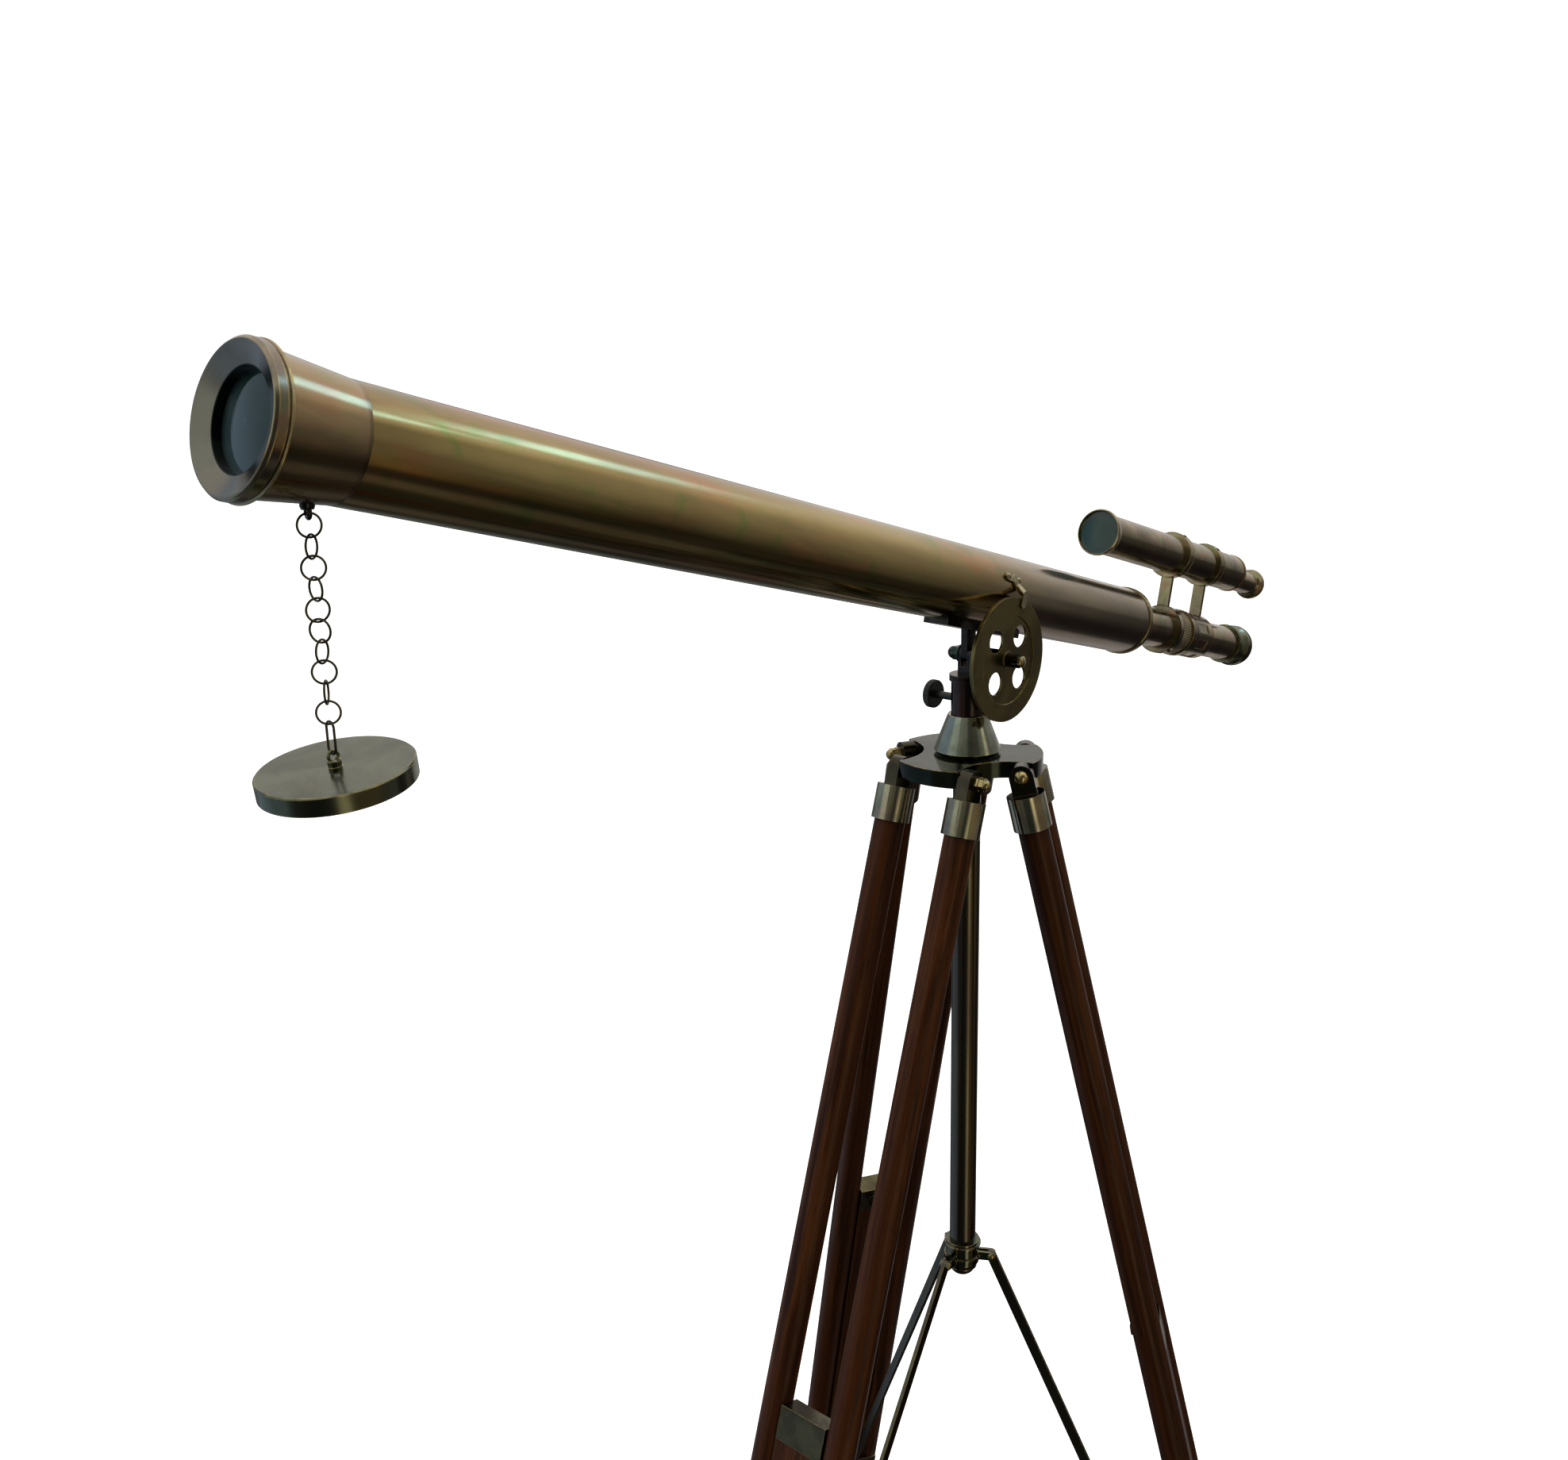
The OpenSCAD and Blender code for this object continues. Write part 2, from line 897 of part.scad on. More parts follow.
module tube_end_ring() {
    spigot = tube_radius(rear_end) - wall - 0.05;
    color(brass)
        turned()
            rotate_extrude()
                polygon([
                    [sleeve_r, rear_end + 10], [spigot, rear_end + 10], [spigot, rear_end],
                    [end_ring_r - 0.6, rear_end], [end_ring_r, rear_end - 0.8],
                    [end_ring_r, rear_end - 3.9], [end_ring_r - 1, rear_end - 4.9],
                    [sleeve_r, rear_end - 4.9]
                ]);
}

module rear_sleeve() {
    color(brass)
        turned()
            pipe(sleeve_end, rear_end + 12, sleeve_r, eye_r + run_fit);
}

// two clamp rings, a barrel between them and a band with flat panels
module sleeve_collars() {
    color(brass)
        turned()
            difference() {
                union() {
                    pipe(ring_a_end, ring_a, ring_big_r, sleeve_r);
                    pipe(ring_b, ring_a_end, barrel_r, sleeve_r);
                    pipe(ring_b_end, ring_b, ring_big_r - 0.3, sleeve_r);
                    pipe(sleeve_end, ring_b_end, band_r, sleeve_r);
                }
                for (k = [0 : panel_count - 1])
                    rotate([0, 0, (k + 0.5) * 360 / panel_count])
                        translate([band_r - 0.9, -4, sleeve_end + 9])
                            cube([5, 8, 18]);
            }
}

module eye_tube() {
    color(brass)
        turned()
            pipe(-414.6, -255, eye_r, eye_r - 1.2);
}

// the turned eyepiece with its rounded rim and dished rear face
module eyepiece_cup() {
    color(bronze)
        turned()
            rotate_extrude()
                polygon([
                    [eye_r, -405.6], [17.3, -405.6], [17.3, -408.1], [15.9, -409.1], [15.9, -413.6],
                    [16.6, -417.6], [18.1, -422.6], [18.2, -429.6], [17.4, -432.6], [15.5, eye_end],
                    [13, eye_end], [6, -430.1], [6, -425.6], [8, -425.6], [8, -418.6],
                    [eye_r - 1.2, -414.6], [eye_r, -414.6]
                ]);
}

module eye_lens() {
    color(glass)
        turned()
            translate([0, 0, -425.5])
                cylinder(r = 8, h = 3);
}

// ---- finder ----

module finder_tube() {
    color(brass)
        finder_turned()
            rotate_extrude()
                polygon([
                    [finder_r - 1, finder_rear], [finder_r, finder_rear], [finder_r, finder_front - 9],
                    [finder_r + 1.7, finder_front - 3.2], [finder_r + 2.3, finder_front - 2.2],
                    [finder_r + 2.3, finder_front - 0.8], [finder_r + 1.7, finder_front],
                    [finder_r + 1.2, finder_front], [finder_r + 0.9, finder_front - 1.6],
                    [finder_seat_r, finder_front - 2.6], [finder_seat_r, finder_front - 4],
                    [finder_r - 1, finder_front - 4.6], [finder_r - 1, finder_front - 9]
                ]);
}

// one ring on the finder and the flat strut under it, cut to the collar below
module finder_clamp(s, ring_r, foot_r) {
    difference() {
        union() {
            finder_turned()
                translate([0, 0, s - clamp_w])
                    cylinder(r = ring_r, h = clamp_w);
            on_axis()
                translate([s - clamp_w + 1.7, -strut_w / 2, 0])
                    cube([strut_t, strut_w, finder_up]);
        }
        finder_turned()
            translate([0, 0, s - clamp_w - 1])
                cylinder(r = finder_r, h = clamp_w + 2);
        turned()
            translate([0, 0, s - clamp_w - 1])
                cylinder(r = foot_r, h = clamp_w + 2);
    }
}

module finder_clamps() {
    color(brass) {
        finder_clamp(clamp_a, 19.1, ring_big_r);
        finder_clamp(clamp_b, 18.4, band_r);
    }
}

module finder_lens() {
    color(glass)
        finder_turned()
            lens_shape(finder_seat_r, finder_front - 4, finder_front - 2.6, 1.2);
}

// the tube's rear cap, bored off its centre for the eyepiece
module finder_end_ring() {
    color(brass)
        finder_turned()
            difference() {
                rotate_extrude()
                    polygon([
                        [0, finder_rear + 6], [finder_r - 1, finder_rear + 6],
                        [finder_r - 1, finder_rear], [finder_r + 0.6, finder_rear],
                        [finder_r + 0.6, finder_rear - 2.4], [finder_r - 1, finder_rear - 3.4],
                        [0, finder_rear - 3.4]
                    ]);
                translate([finder_eye_drop, 0, finder_rear - 5])
                    cylinder(r = finder_eye_r + run_fit, h = 15);
            }
}

module finder_eyepiece() {
    color(brass)
        finder_turned()
            translate([finder_eye_drop, 0, 0])
                rotate_extrude()
                    polygon([
                        [finder_eye_r - 1, -360], [finder_eye_r, -360], [finder_eye_r, -436],
                        [11.6, -437.5], [13.2, -440], [13.4, -444], [12.4, -447],
                        [11, finder_eye_end], [9, finder_eye_end], [4, -445], [4, -441],
                        [finder_eye_r - 1, -440]
                    ]);
}

// ---- cap and chain ----

// a short post under the hood with a ring for an eye, square to the first ring
module chain_lug() {
    color(dark)
        difference() {
            at_hub()
                translate(chain_eye) {
                    wire_ring(eye_ring_r, eye_wire, link_turns[0] + 90);
                    translate([0, 0, eye_ring_r - eye_wire])
                        cylinder(r = 3, h = 10);
                }
            turned()
                translate([0, 0, flare_start])
                    cylinder(r1 = flare_r0 + 0.1, r2 = flare_r1, h = ring_start - flare_start);
        }
}

module chain_links(first, last) {
    color(bronze)
        at_hub()
            for (k = [first : last])
                translate([chain_x, 0, chain_top - k * link_pitch])
                    wire_ring(link_r, link_wire, link_turns[k]);
}

// a long closed hook between the last ring and the cap's eye
module chain_hook() {
    side = hook_top - hook_low - 2 * hook_half;
    color(bronze)
        at_hub()
            translate([chain_x, 0, (hook_top + hook_low) / 2])
                rotate([0, 0, 90])
                    rotate([90, 0, 0]) {
                        for (up = [0, 1])
                            rotate([0, 0, up * 180])
                                translate([0, side / 2, 0])
                                    rotate_extrude(angle = 180)
                                        translate([hook_half, 0])
                                            circle(r = hook_wire);
                        for (x = [-hook_half, hook_half])
                            translate([x, side / 2, 0])
                                rotate([90, 0, 0])
                                    cylinder(r = hook_wire, h = side);
                    }
}

// a shallow cup, open downward, with a boss and an eye on top
module lens_cap() {
    color(bronze)
        at_cap() {
            rotate_extrude()
                polygon([
                    [0, 0], [cap_r - 0.6, 0], [cap_r, -0.6], [cap_r, -cap_depth],
                    [cap_r - cap_wall, -cap_depth], [cap_r - cap_wall, -cap_wall], [0, -cap_wall]
                ]);
            cylinder(r = 3.2, h = 3);
            translate([0, 0, eye_up - 1])
                wire_ring(2.5, 0.8, 90);
        }
}

hub_plate();
hub_cone();
centre_column();
column_end_cap();
leg_bolts();
brace_collar();
brace_pins();
brace(0);  // brace_1
brace(1);  // brace_2
brace(2);  // brace_3
leg_rails(0);  // leg_1_rails
leg_rails(1);  // leg_2_rails
leg_rails(2);  // leg_3_rails
leg_ferrules(0);  // leg_1_ferrules
leg_ferrules(1);  // leg_2_ferrules
leg_ferrules(2);  // leg_3_ferrules
leg_brackets(0);  // leg_1_brackets
leg_brackets(1);  // leg_2_brackets
leg_brackets(2);  // leg_3_brackets
leg_knob(0);  // leg_1_knob
leg_knob(1);  // leg_2_knob
leg_knob(2);  // leg_3_knob
leg_slider(0);  // leg_1_slider
leg_slider(1);  // leg_2_slider
leg_slider(2);  // leg_3_slider
leg_slider_cap(0);  // leg_1_slider_cap
leg_slider_cap(1);  // leg_2_slider_cap
leg_slider_cap(2);  // leg_3_slider_cap
leg_foot(0);  // leg_1_foot
leg_foot(1);  // leg_2_foot
leg_foot(2);  // leg_3_foot
pan_socket();
pan_fork();
pan_clamp_knob();
pivot_bolt();
pivot_nut();
wheel_spacer();
altitude_wheel();
wheel_bracket();
saddle();
main_tube();
flared_hood();
objective_ring();
objective_lens();
tube_end_ring();
rear_sleeve();
sleeve_collars();
eye_tube();
eyepiece_cup();
eye_lens();
finder_tube();
finder_clamps();
finder_lens();
finder_end_ring();
finder_eyepiece();
chain_lug();
chain_links(0, upper_links - 1);  // chain_upper
chain_links(upper_links, len(link_turns) - 1);  // chain_lower
chain_hook();
lens_cap();
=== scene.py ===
"""Antique brass telescope on a folding wooden tripod: materials, turned details, light and camera."""

import math

import bmesh
import bpy
from mathutils import Matrix, Vector


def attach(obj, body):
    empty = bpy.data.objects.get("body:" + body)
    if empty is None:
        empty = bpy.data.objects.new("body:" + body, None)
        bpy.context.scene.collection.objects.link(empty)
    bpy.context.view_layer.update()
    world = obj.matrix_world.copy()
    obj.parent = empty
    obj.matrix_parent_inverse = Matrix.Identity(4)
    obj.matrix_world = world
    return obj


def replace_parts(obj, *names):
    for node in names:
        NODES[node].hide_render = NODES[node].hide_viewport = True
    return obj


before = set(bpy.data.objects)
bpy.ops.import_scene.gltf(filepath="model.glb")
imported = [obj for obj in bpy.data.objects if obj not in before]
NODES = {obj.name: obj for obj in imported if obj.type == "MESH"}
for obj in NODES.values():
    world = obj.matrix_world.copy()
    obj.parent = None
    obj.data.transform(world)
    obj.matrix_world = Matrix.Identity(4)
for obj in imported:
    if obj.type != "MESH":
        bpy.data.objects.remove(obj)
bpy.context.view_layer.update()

# ---------------------------------------------------------------- places, in metres, as in the CAD

HUB = Vector((-0.0412, 0.0353, 1.150))
PIVOT = HUB + Vector((0, 0, 0.0713))         # the altitude shaft
ELEVATION = math.radians(15)                # of the tube at rest
AXIS = Vector((math.cos(ELEVATION), 0, math.sin(ELEVATION)))
ABOVE = Vector((-math.sin(ELEVATION), 0, math.cos(ELEVATION)))
SIDE = Vector((0, 1, 0))
TUBE = PIVOT + 0.0471 * ABOVE               # the tube's axis over the pivot
FINDER = TUBE + 0.0628 * ABOVE              # the finder's axis
FINDER_EYE = FINDER - 0.004 * ABOVE         # the finder's eyepiece sits a little lower
SPLAYS = [math.radians(a) for a in (18.4, 13.2, 17.0)]
AZIMUTHS = [math.radians(a) for a in (0, 120, 240)]
HINGE_RADIUS, HINGE_DROP = 0.040, 0.008
LEG_KNOB_DOWN, LEG_KNOB_OUT = 0.926, 0.017  # a leg's clamp knob, along the leg and out from it
CLAMP_KNOB = HUB + Vector((0, -0.0276, 0.0385))


def leg_frame(i):
    """The hinge of a leg: its place, and the directions outward, along the bolt and up the leg."""
    turn = Matrix.Rotation(AZIMUTHS[i], 3, "Z")
    lean = turn @ Matrix.Rotation(-SPLAYS[i], 3, "Y")
    place = HUB + turn @ Vector((HINGE_RADIUS, 0, -HINGE_DROP))
    return place, lean @ Vector((1, 0, 0)), lean @ Vector((0, 1, 0)), lean @ Vector((0, 0, 1))


CHAIN = HUB + Vector((0.5055, 0, 0))          # the line that the chain hangs along
HOOK_LOW, EYE_UP = 0.1121, 0.0059            # the hook's lower end, and the cap's eye over the cap
CAP_TILT = Matrix.Rotation(math.radians(7.3), 3, "Y") @ Matrix.Rotation(math.radians(-2.2), 3, "X")
CAP_UP = CAP_TILT @ Vector((0, 0, 1))
CAP = CHAIN + Vector((0, 0, HOOK_LOW)) - EYE_UP * CAP_UP

# ---------------------------------------------------------------- node helpers


class Graph:
    """A small wrapper that adds shader nodes and joins them."""

    def __init__(self, tree):
        self.tree = tree
        tree.nodes.clear()

    def node(self, kind, **settings):
        made = self.tree.nodes.new(kind)
        for key, value in settings.items():
            setattr(made, key, value)
        return made

    def feed(self, socket, value):
        if hasattr(value, "is_output"):
            self.tree.links.new(value, socket)
        else:
            socket.default_value = value

    def math(self, operation, a, b=0.0, clamp=False):
        made = self.node("ShaderNodeMath", operation=operation, use_clamp=clamp)
        self.feed(made.inputs[0], a)
        self.feed(made.inputs[1], b)
        return made.outputs[0]

    def dot(self, vector, direction):
        made = self.node("ShaderNodeVectorMath", operation="DOT_PRODUCT")
        self.feed(made.inputs[0], vector)
        self.feed(made.inputs[1], tuple(direction))
        return made.outputs["Value"]

    def span(self, value, low, high, out_low=0.0, out_high=1.0, smooth=True):
        made = self.node("ShaderNodeMapRange",
                         interpolation_type="SMOOTHSTEP" if smooth else "LINEAR")
        for i, v in enumerate((value, low, high, out_low, out_high)):
            self.feed(made.inputs[i], v)
        return made.outputs[0]

    def mix(self, factor, a, b, blend="MIX"):
        made = self.node("ShaderNodeMix", data_type="RGBA", blend_type=blend)
        self.feed(made.inputs[0], factor)
        self.feed(made.inputs[6], a if hasattr(a, "is_output") else (*a, 1))
        self.feed(made.inputs[7], b if hasattr(b, "is_output") else (*b, 1))
        return made.outputs[2]

    def noise(self, vector, scale, detail=3.0, rough=0.55, warp=0.0):
        made = self.node("ShaderNodeTexNoise")
        self.feed(made.inputs["Vector"], vector)
        made.inputs["Scale"].default_value = scale
        made.inputs["Detail"].default_value = detail
        made.inputs["Roughness"].default_value = rough
        made.inputs["Distortion"].default_value = warp
        return made.outputs["Fac"]

    def local(self, origin, x, y, z, stretch=(1, 1, 1)):
        """Coordinates along three given directions, which ride with the piece."""
        place = self.node("ShaderNodeTexCoord").outputs["Object"]
        shift = self.node("ShaderNodeVectorMath", operation="SUBTRACT")
        self.feed(shift.inputs[0], place)
        self.feed(shift.inputs[1], tuple(origin))
        made = self.node("ShaderNodeCombineXYZ")
        for i, direction in enumerate((x, y, z)):
            self.feed(made.inputs[i], self.math("MULTIPLY", self.dot(shift.outputs[0], direction),
                                                stretch[i]))
        return made.outputs[0]


def new_material(name):
    made = bpy.data.materials.new(name)
    made.use_nodes = True
    return made, Graph(made.node_tree)


def finish_surface(g, colour, roughness, metallic, height=None, bump=0.0, edge=0.0, coat=0.0,
                   coat_rough=0.1, ior=1.5):
    """Joins the worked-out values to one Principled surface with rounded-looking edges."""
    out = g.node("ShaderNodeOutputMaterial")
    bsdf = g.node("ShaderNodeBsdfPrincipled")
    g.feed(bsdf.inputs["Base Color"], colour)
    g.feed(bsdf.inputs["Roughness"], roughness)
    g.feed(bsdf.inputs["Metallic"], metallic)
    g.feed(bsdf.inputs["IOR"], ior)
    g.feed(bsdf.inputs["Coat Weight"], coat)
    g.feed(bsdf.inputs["Coat Roughness"], coat_rough)
    normal = None
    if edge:
        normal = g.node("ShaderNodeBevel", samples=4)
        normal.inputs["Radius"].default_value = edge
        normal = normal.outputs[0]
    if height is not None:
        made = g.node("ShaderNodeBump")
        made.inputs["Strength"].default_value = 1.0
        g.feed(made.inputs["Distance"], bump)
        g.feed(made.inputs["Height"], height)
        if normal is not None:
            g.feed(made.inputs["Normal"], normal)
        normal = made.outputs[0]
    if normal is not None:
        g.feed(bsdf.inputs["Normal"], normal)
    g.feed(out.inputs["Surface"], bsdf.outputs[0])


WORLD_AXES = (Vector((0, 0, 0)), Vector((1, 0, 0)), Vector((0, 1, 0)), Vector((0, 0, 1)))
TUBE_AXES = (TUBE, AXIS, SIDE, ABOVE)


def edge_wear(g, radius):
    """1 along sharp edges, 0 on open faces."""
    bevel = g.node("ShaderNodeBevel", samples=4)
    bevel.inputs["Radius"].default_value = radius
    normal = g.node("ShaderNodeNewGeometry").outputs["Normal"]
    made = g.node("ShaderNodeVectorMath", operation="DOT_PRODUCT")
    g.feed(made.inputs[0], bevel.outputs[0])
    g.feed(made.inputs[1], normal)
    return g.span(made.outputs["Value"], 0.995, 0.90)


ROSY, GREEN = (1.25, 0.86, 0.92), (0.66, 1.02, 0.72)
GRIME, UNDERSIDE_STREAK_SHADE = (0.42, 0.40, 0.38), (0.30, 0.36, 0.26)


def metal(name, bright, dull, rough=0.22, axes=WORLD_AXES, drawn=(1, 1, 1), lathe=0.0, tint=0.25,
          speckle=0.3, coat=0.35, edge=0.0004, wear=0.7, worn=(0.72, 0.55, 0.24), bump=0.00001,
          patch=14.0, inner=(), shade=None, grime=0.0, streaks=0.0):
    """Aged brass or bronze: cloudy patina, fine specks, tool marks and bright worn edges."""
    made, g = new_material(name)
    place = g.local(*axes)
    streaked = g.local(*axes, stretch=drawn)
    clouds = g.noise(streaked, patch, 4.0, 0.6, 0.4)
    colour = g.mix(g.span(clouds, 0.33, 0.68), bright, dull)
    if tint:
        rosy = g.span(g.noise(streaked, patch * 2.3, 3.0, 0.6, 0.6), 0.50, 0.72, 0.0, tint)
        colour = g.mix(rosy, colour, ROSY, "MULTIPLY")
        green = g.span(g.noise(place, patch * 1.7, 3.0, 0.6, 0.5), 0.52, 0.74, 0.0, tint)
        colour = g.mix(green, colour, GREEN, "MULTIPLY")
    fine = g.noise(place, 900.0, 3.0, 0.7)
    specks = g.span(g.noise(place, 420.0, 4.0, 0.75), 0.60, 0.74, 0.0, speckle)
    dark = tuple(0.3 * v for v in dull)
    colour = g.mix(specks, colour, dark)
    if wear:
        rubbed = g.math("MULTIPLY", edge_wear(g, 2.2 * edge), wear)
        broken = g.math("MULTIPLY", rubbed, g.span(g.noise(place, 160.0), 0.35, 0.62, 0.25, 1.0))
        colour = g.mix(broken, colour, worn)
    for radius, tone in inner:
        off = g.math("SQRT", g.math("ADD", g.math("POWER", g.dot(place, (0, 1, 0)), 2.0),
                                    g.math("POWER", g.dot(place, (0, 0, 1)), 2.0)))
        colour = g.mix(g.span(off, radius + 0.0003, radius), colour, tone)
    if grime:
        soiled = g.span(g.noise(streaked, patch * 0.7, 4.0, 0.65, 0.8), 0.44, 0.72, 0.0, grime)
        colour = g.mix(soiled, colour, GRIME, "MULTIPLY")
    # painted shade: dark streaks along the piece, put only on its lower half and stronger towards the
    # bottom
    if streaks:
        lines = g.noise(g.local(*axes, stretch=(0.03, 1, 1)), 120.0, 4.0, 0.6, 0.2)
        low = g.span(g.dot(place, (0, 0, 1)), 0.004, -0.020, 0.0, streaks)
        colour = g.mix(g.math("MULTIPLY", low, g.span(lines, 0.47, 0.60)), colour, UNDERSIDE_STREAK_SHADE, "MULTIPLY")
    if shade:
        direction, start, end, tone = shade
        colour = g.mix(g.span(g.dot(place, direction), start, end), colour,
                       g.mix(g.span(clouds, 0.3, 0.7), tone, tuple(0.5 * v for v in tone)))
    roughness = g.math("ADD", rough, g.span(clouds, 0.3, 0.7, -0.04, 0.06))
    roughness = g.math("ADD", roughness, g.math("MULTIPLY", specks, 0.25), clamp=True)
    height = g.math("MULTIPLY", fine, 0.6)
    if lathe:
        along = g.dot(place, (1, 0, 0))
        rings = g.math("SINE", g.math("MULTIPLY", along, 2 * math.pi / 0.0011))
        rings = g.math("MULTIPLY", rings, g.span(g.noise(place, 60.0), 0.4, 0.7, 0.2, 1.0))
        height = g.math("ADD", height, g.math("MULTIPLY", rings, lathe))
    height = g.math("ADD", height, g.math("MULTIPLY", specks, -0.8))
    finish_surface(g, colour, roughness, 1.0, height, bump, edge, coat, 0.12)
    return made


def wood(name, i, red=1.0):
    """Dark varnished mahogany with its grain along one leg."""
    made, g = new_material(name)
    axes = leg_frame(i)
    grain = g.local(*axes, stretch=(1, 1, 0.035))
    wide = g.noise(g.local(*axes, stretch=(1, 1, 0.12)), 26.0, 3.0, 0.6, 0.8)
    lines = g.noise(grain, 210.0, 5.0, 0.65, 0.3)
    pores = g.noise(g.local(*axes, stretch=(1, 1, 0.05)), 900.0, 3.0, 0.7)
    light, deep, middle = [tuple(red * v for v in tone) for tone in (
        (0.100, 0.032, 0.009), (0.022, 0.0065, 0.0025), (0.055, 0.015, 0.0045))]
    colour = g.mix(g.span(lines, 0.34, 0.66), light, deep)
    colour = g.mix(g.span(wide, 0.38, 0.66, 0.0, 0.65), colour, middle)
    colour = g.mix(g.span(pores, 0.58, 0.72, 0.0, 0.75), colour, (0.012, 0.004, 0.003))
    rubbed = g.math("MULTIPLY", edge_wear(g, 0.0012), 0.55)
    colour = g.mix(rubbed, colour, (0.24, 0.13, 0.07))
    height = g.math("SUBTRACT", g.math("MULTIPLY", lines, 0.5), g.span(pores, 0.55, 0.75))
    roughness = g.span(lines, 0.3, 0.7, 0.26, 0.40)
    finish_surface(g, colour, roughness, 0.0, height, 0.00005, 0.0009, 0.03, 0.16, 1.22)
    return made


def moulded(name, colour, rough, bump, scale, dust=0.2):
    """Rubber or black lacquer: an even dark colour with grain and a little dust."""
    made, g = new_material(name)
    place = g.local(*WORLD_AXES)
    grain = g.noise(place, scale, 4.0, 0.7)
    cloud = g.noise(place, scale / 14, 3.0)
    pale = tuple(0.05 + 1.2 * v for v in colour)
    tone = g.mix(g.span(cloud, 0.45, 0.75, 0.0, dust), colour, pale)
    roughness = g.span(grain, 0.3, 0.7, rough - 0.08, rough + 0.1)
    finish_surface(g, tone, roughness, 0.0, grain, bump, 0.0006, 0.0)
    return made


def coated_glass(name, centre, normal, radius, near=(0.004, 0.022, 0.014), reflected_tone=(0.034, 0.060, 0.074)):
    """A coated lens seen from outside: deep teal, turning slate blue across its face as a painted
    reflection.
    """
    made, g = new_material(name)
    side = normal.cross(Vector((0, 0, 1))).normalized()
    up = side.cross(normal).normalized()
    place = g.local(centre, side, up, normal)
    # painted reflection: the colour fades from deep teal to slate blue across the lens's face
    across = g.dot(place, (0.85, -0.5, 0))
    reflection_fade = g.span(across, -0.45 * radius, 0.55 * radius)
    colour = g.mix(reflection_fade, near, reflected_tone)
    smudge = g.noise(place, 90.0, 4.0, 0.6, 0.5)
    colour = g.mix(g.span(smudge, 0.5, 0.75, 0.0, 0.25), colour, (0.016, 0.050, 0.034))
    roughness = g.span(smudge, 0.35, 0.7, 0.05, 0.16)
    finish_surface(g, colour, roughness, 0.0, smudge, 0.000004, 0.0, 0.4, 0.04, 1.52)
    return made


# ---------------------------------------------------------------- materials

# stations along the tube's axis, from the pivot forward
SEAM = 0.5180                               # the start of the flared hood
OBJECTIVE, FINDER_LENS, EYE_LENS = 0.5612, -0.1535, -0.4255
FACE_RADIUS, LENS_RADIUS = 0.0331, 0.0234   # of the front ring's face and of its opening
OLD_GOLD, BROWN_GOLD = (0.51, 0.375, 0.145), (0.37, 0.250, 0.100)

# the tube's streaks are painted shade on its lower half
TUBE_LOOK = dict(bright=OLD_GOLD, dull=BROWN_GOLD, rough=0.17, axes=TUBE_AXES, drawn=(0.22, 1, 1),
                 tint=0.9, speckle=0.12, coat=0.4, patch=22.0, grime=0.55, streaks=0.8,
                 shade=((1, 0, 0), 0.06, -0.06, (0.45, 0.36, 0.245)))
tube_brass = metal("lacquered_tube_brass", edge=0.0003, **TUBE_LOOK)
tube_front_brass = metal("tube_front_brass", edge=0.0, wear=0.0, **TUBE_LOOK)
hood_brass = metal("lacquered_hood_brass", (0.44, 0.32, 0.15), (0.33, 0.22, 0.12), 0.15, TUBE_AXES,
                   (0.5, 1, 1), tint=0.4, speckle=0.12, coat=0.4, edge=0.0003, patch=26.0,
                   grime=0.4, shade=((1, 0, 0), SEAM + 0.0026, SEAM + 0.0014, (0.36, 0.25, 0.13)))
rim_brass = metal("turned_rim_brass", (0.36, 0.30, 0.20), (0.24, 0.20, 0.16), 0.2, TUBE_AXES,
                  lathe=0.7, tint=0.8, grime=0.4, speckle=0.3, coat=0.3, edge=0.0005, wear=0.9,
                  worn=(0.85, 0.66, 0.28), patch=30.0,
                  inner=((FACE_RADIUS, (0.215, 0.195, 0.160)), (LENS_RADIUS, (0.012, 0.022, 0.015))))
rear_brass = metal("turned_rear_brass", (0.42, 0.34, 0.19), (0.23, 0.185, 0.115), 0.16, TUBE_AXES,
                   lathe=0.4, tint=0.9, grime=0.65, speckle=0.3, coat=0.35, edge=0.0004, wear=0.8,
                   patch=34.0)
eye_bronze = metal("eyepiece_bronze", (0.17, 0.17, 0.09), (0.09, 0.10, 0.06), 0.2, TUBE_AXES,
                   lathe=0.5, tint=0.15, speckle=0.3, coat=0.3, edge=0.0004, wear=1.0,
                   worn=(0.80, 0.62, 0.26), patch=40.0)
wheel_bronze = metal("speckled_wheel_bronze", (0.210, 0.165, 0.062), (0.110, 0.085, 0.034), 0.30,
                     (PIVOT, SIDE, AXIS, ABOVE), lathe=0.4, tint=0.12, speckle=0.75, coat=0.1,
                     edge=0.0003, wear=0.9, worn=(0.60, 0.47, 0.22), bump=0.00002, patch=40.0)
stand_bronze = metal("stand_bronze", (0.105, 0.115, 0.082), (0.055, 0.062, 0.048), 0.12, WORLD_AXES,
                     tint=0.7, speckle=0.3, coat=0.35, edge=0.0005, wear=0.85, patch=26.0)
# the plate is painted darker below its top face: a duller side, and a painted dark reflection of what
# the sides face
plate_bronze = metal("hub_plate_bronze", (0.062, 0.073, 0.051), (0.036, 0.042, 0.031), 0.11,
                     (HUB, Vector((1, 0, 0)), SIDE, Vector((0, 0, 1))), tint=0.8, speckle=0.3,
                     coat=0.0, edge=0.0005, wear=0.85, patch=26.0, grime=0.4,
                     shade=((0, 0, 1), -0.0008, -0.0012, (0.040, 0.048, 0.036)))
column_bronze = metal("column_bronze", (0.150, 0.125, 0.070), (0.090, 0.070, 0.055), 0.24,
                      (HUB, Vector((0, 0, 1)), Vector((1, 0, 0)), SIDE), (0.15, 1, 1),
                      tint=0.2, speckle=0.35, coat=0.3, edge=0.0004, patch=30.0)
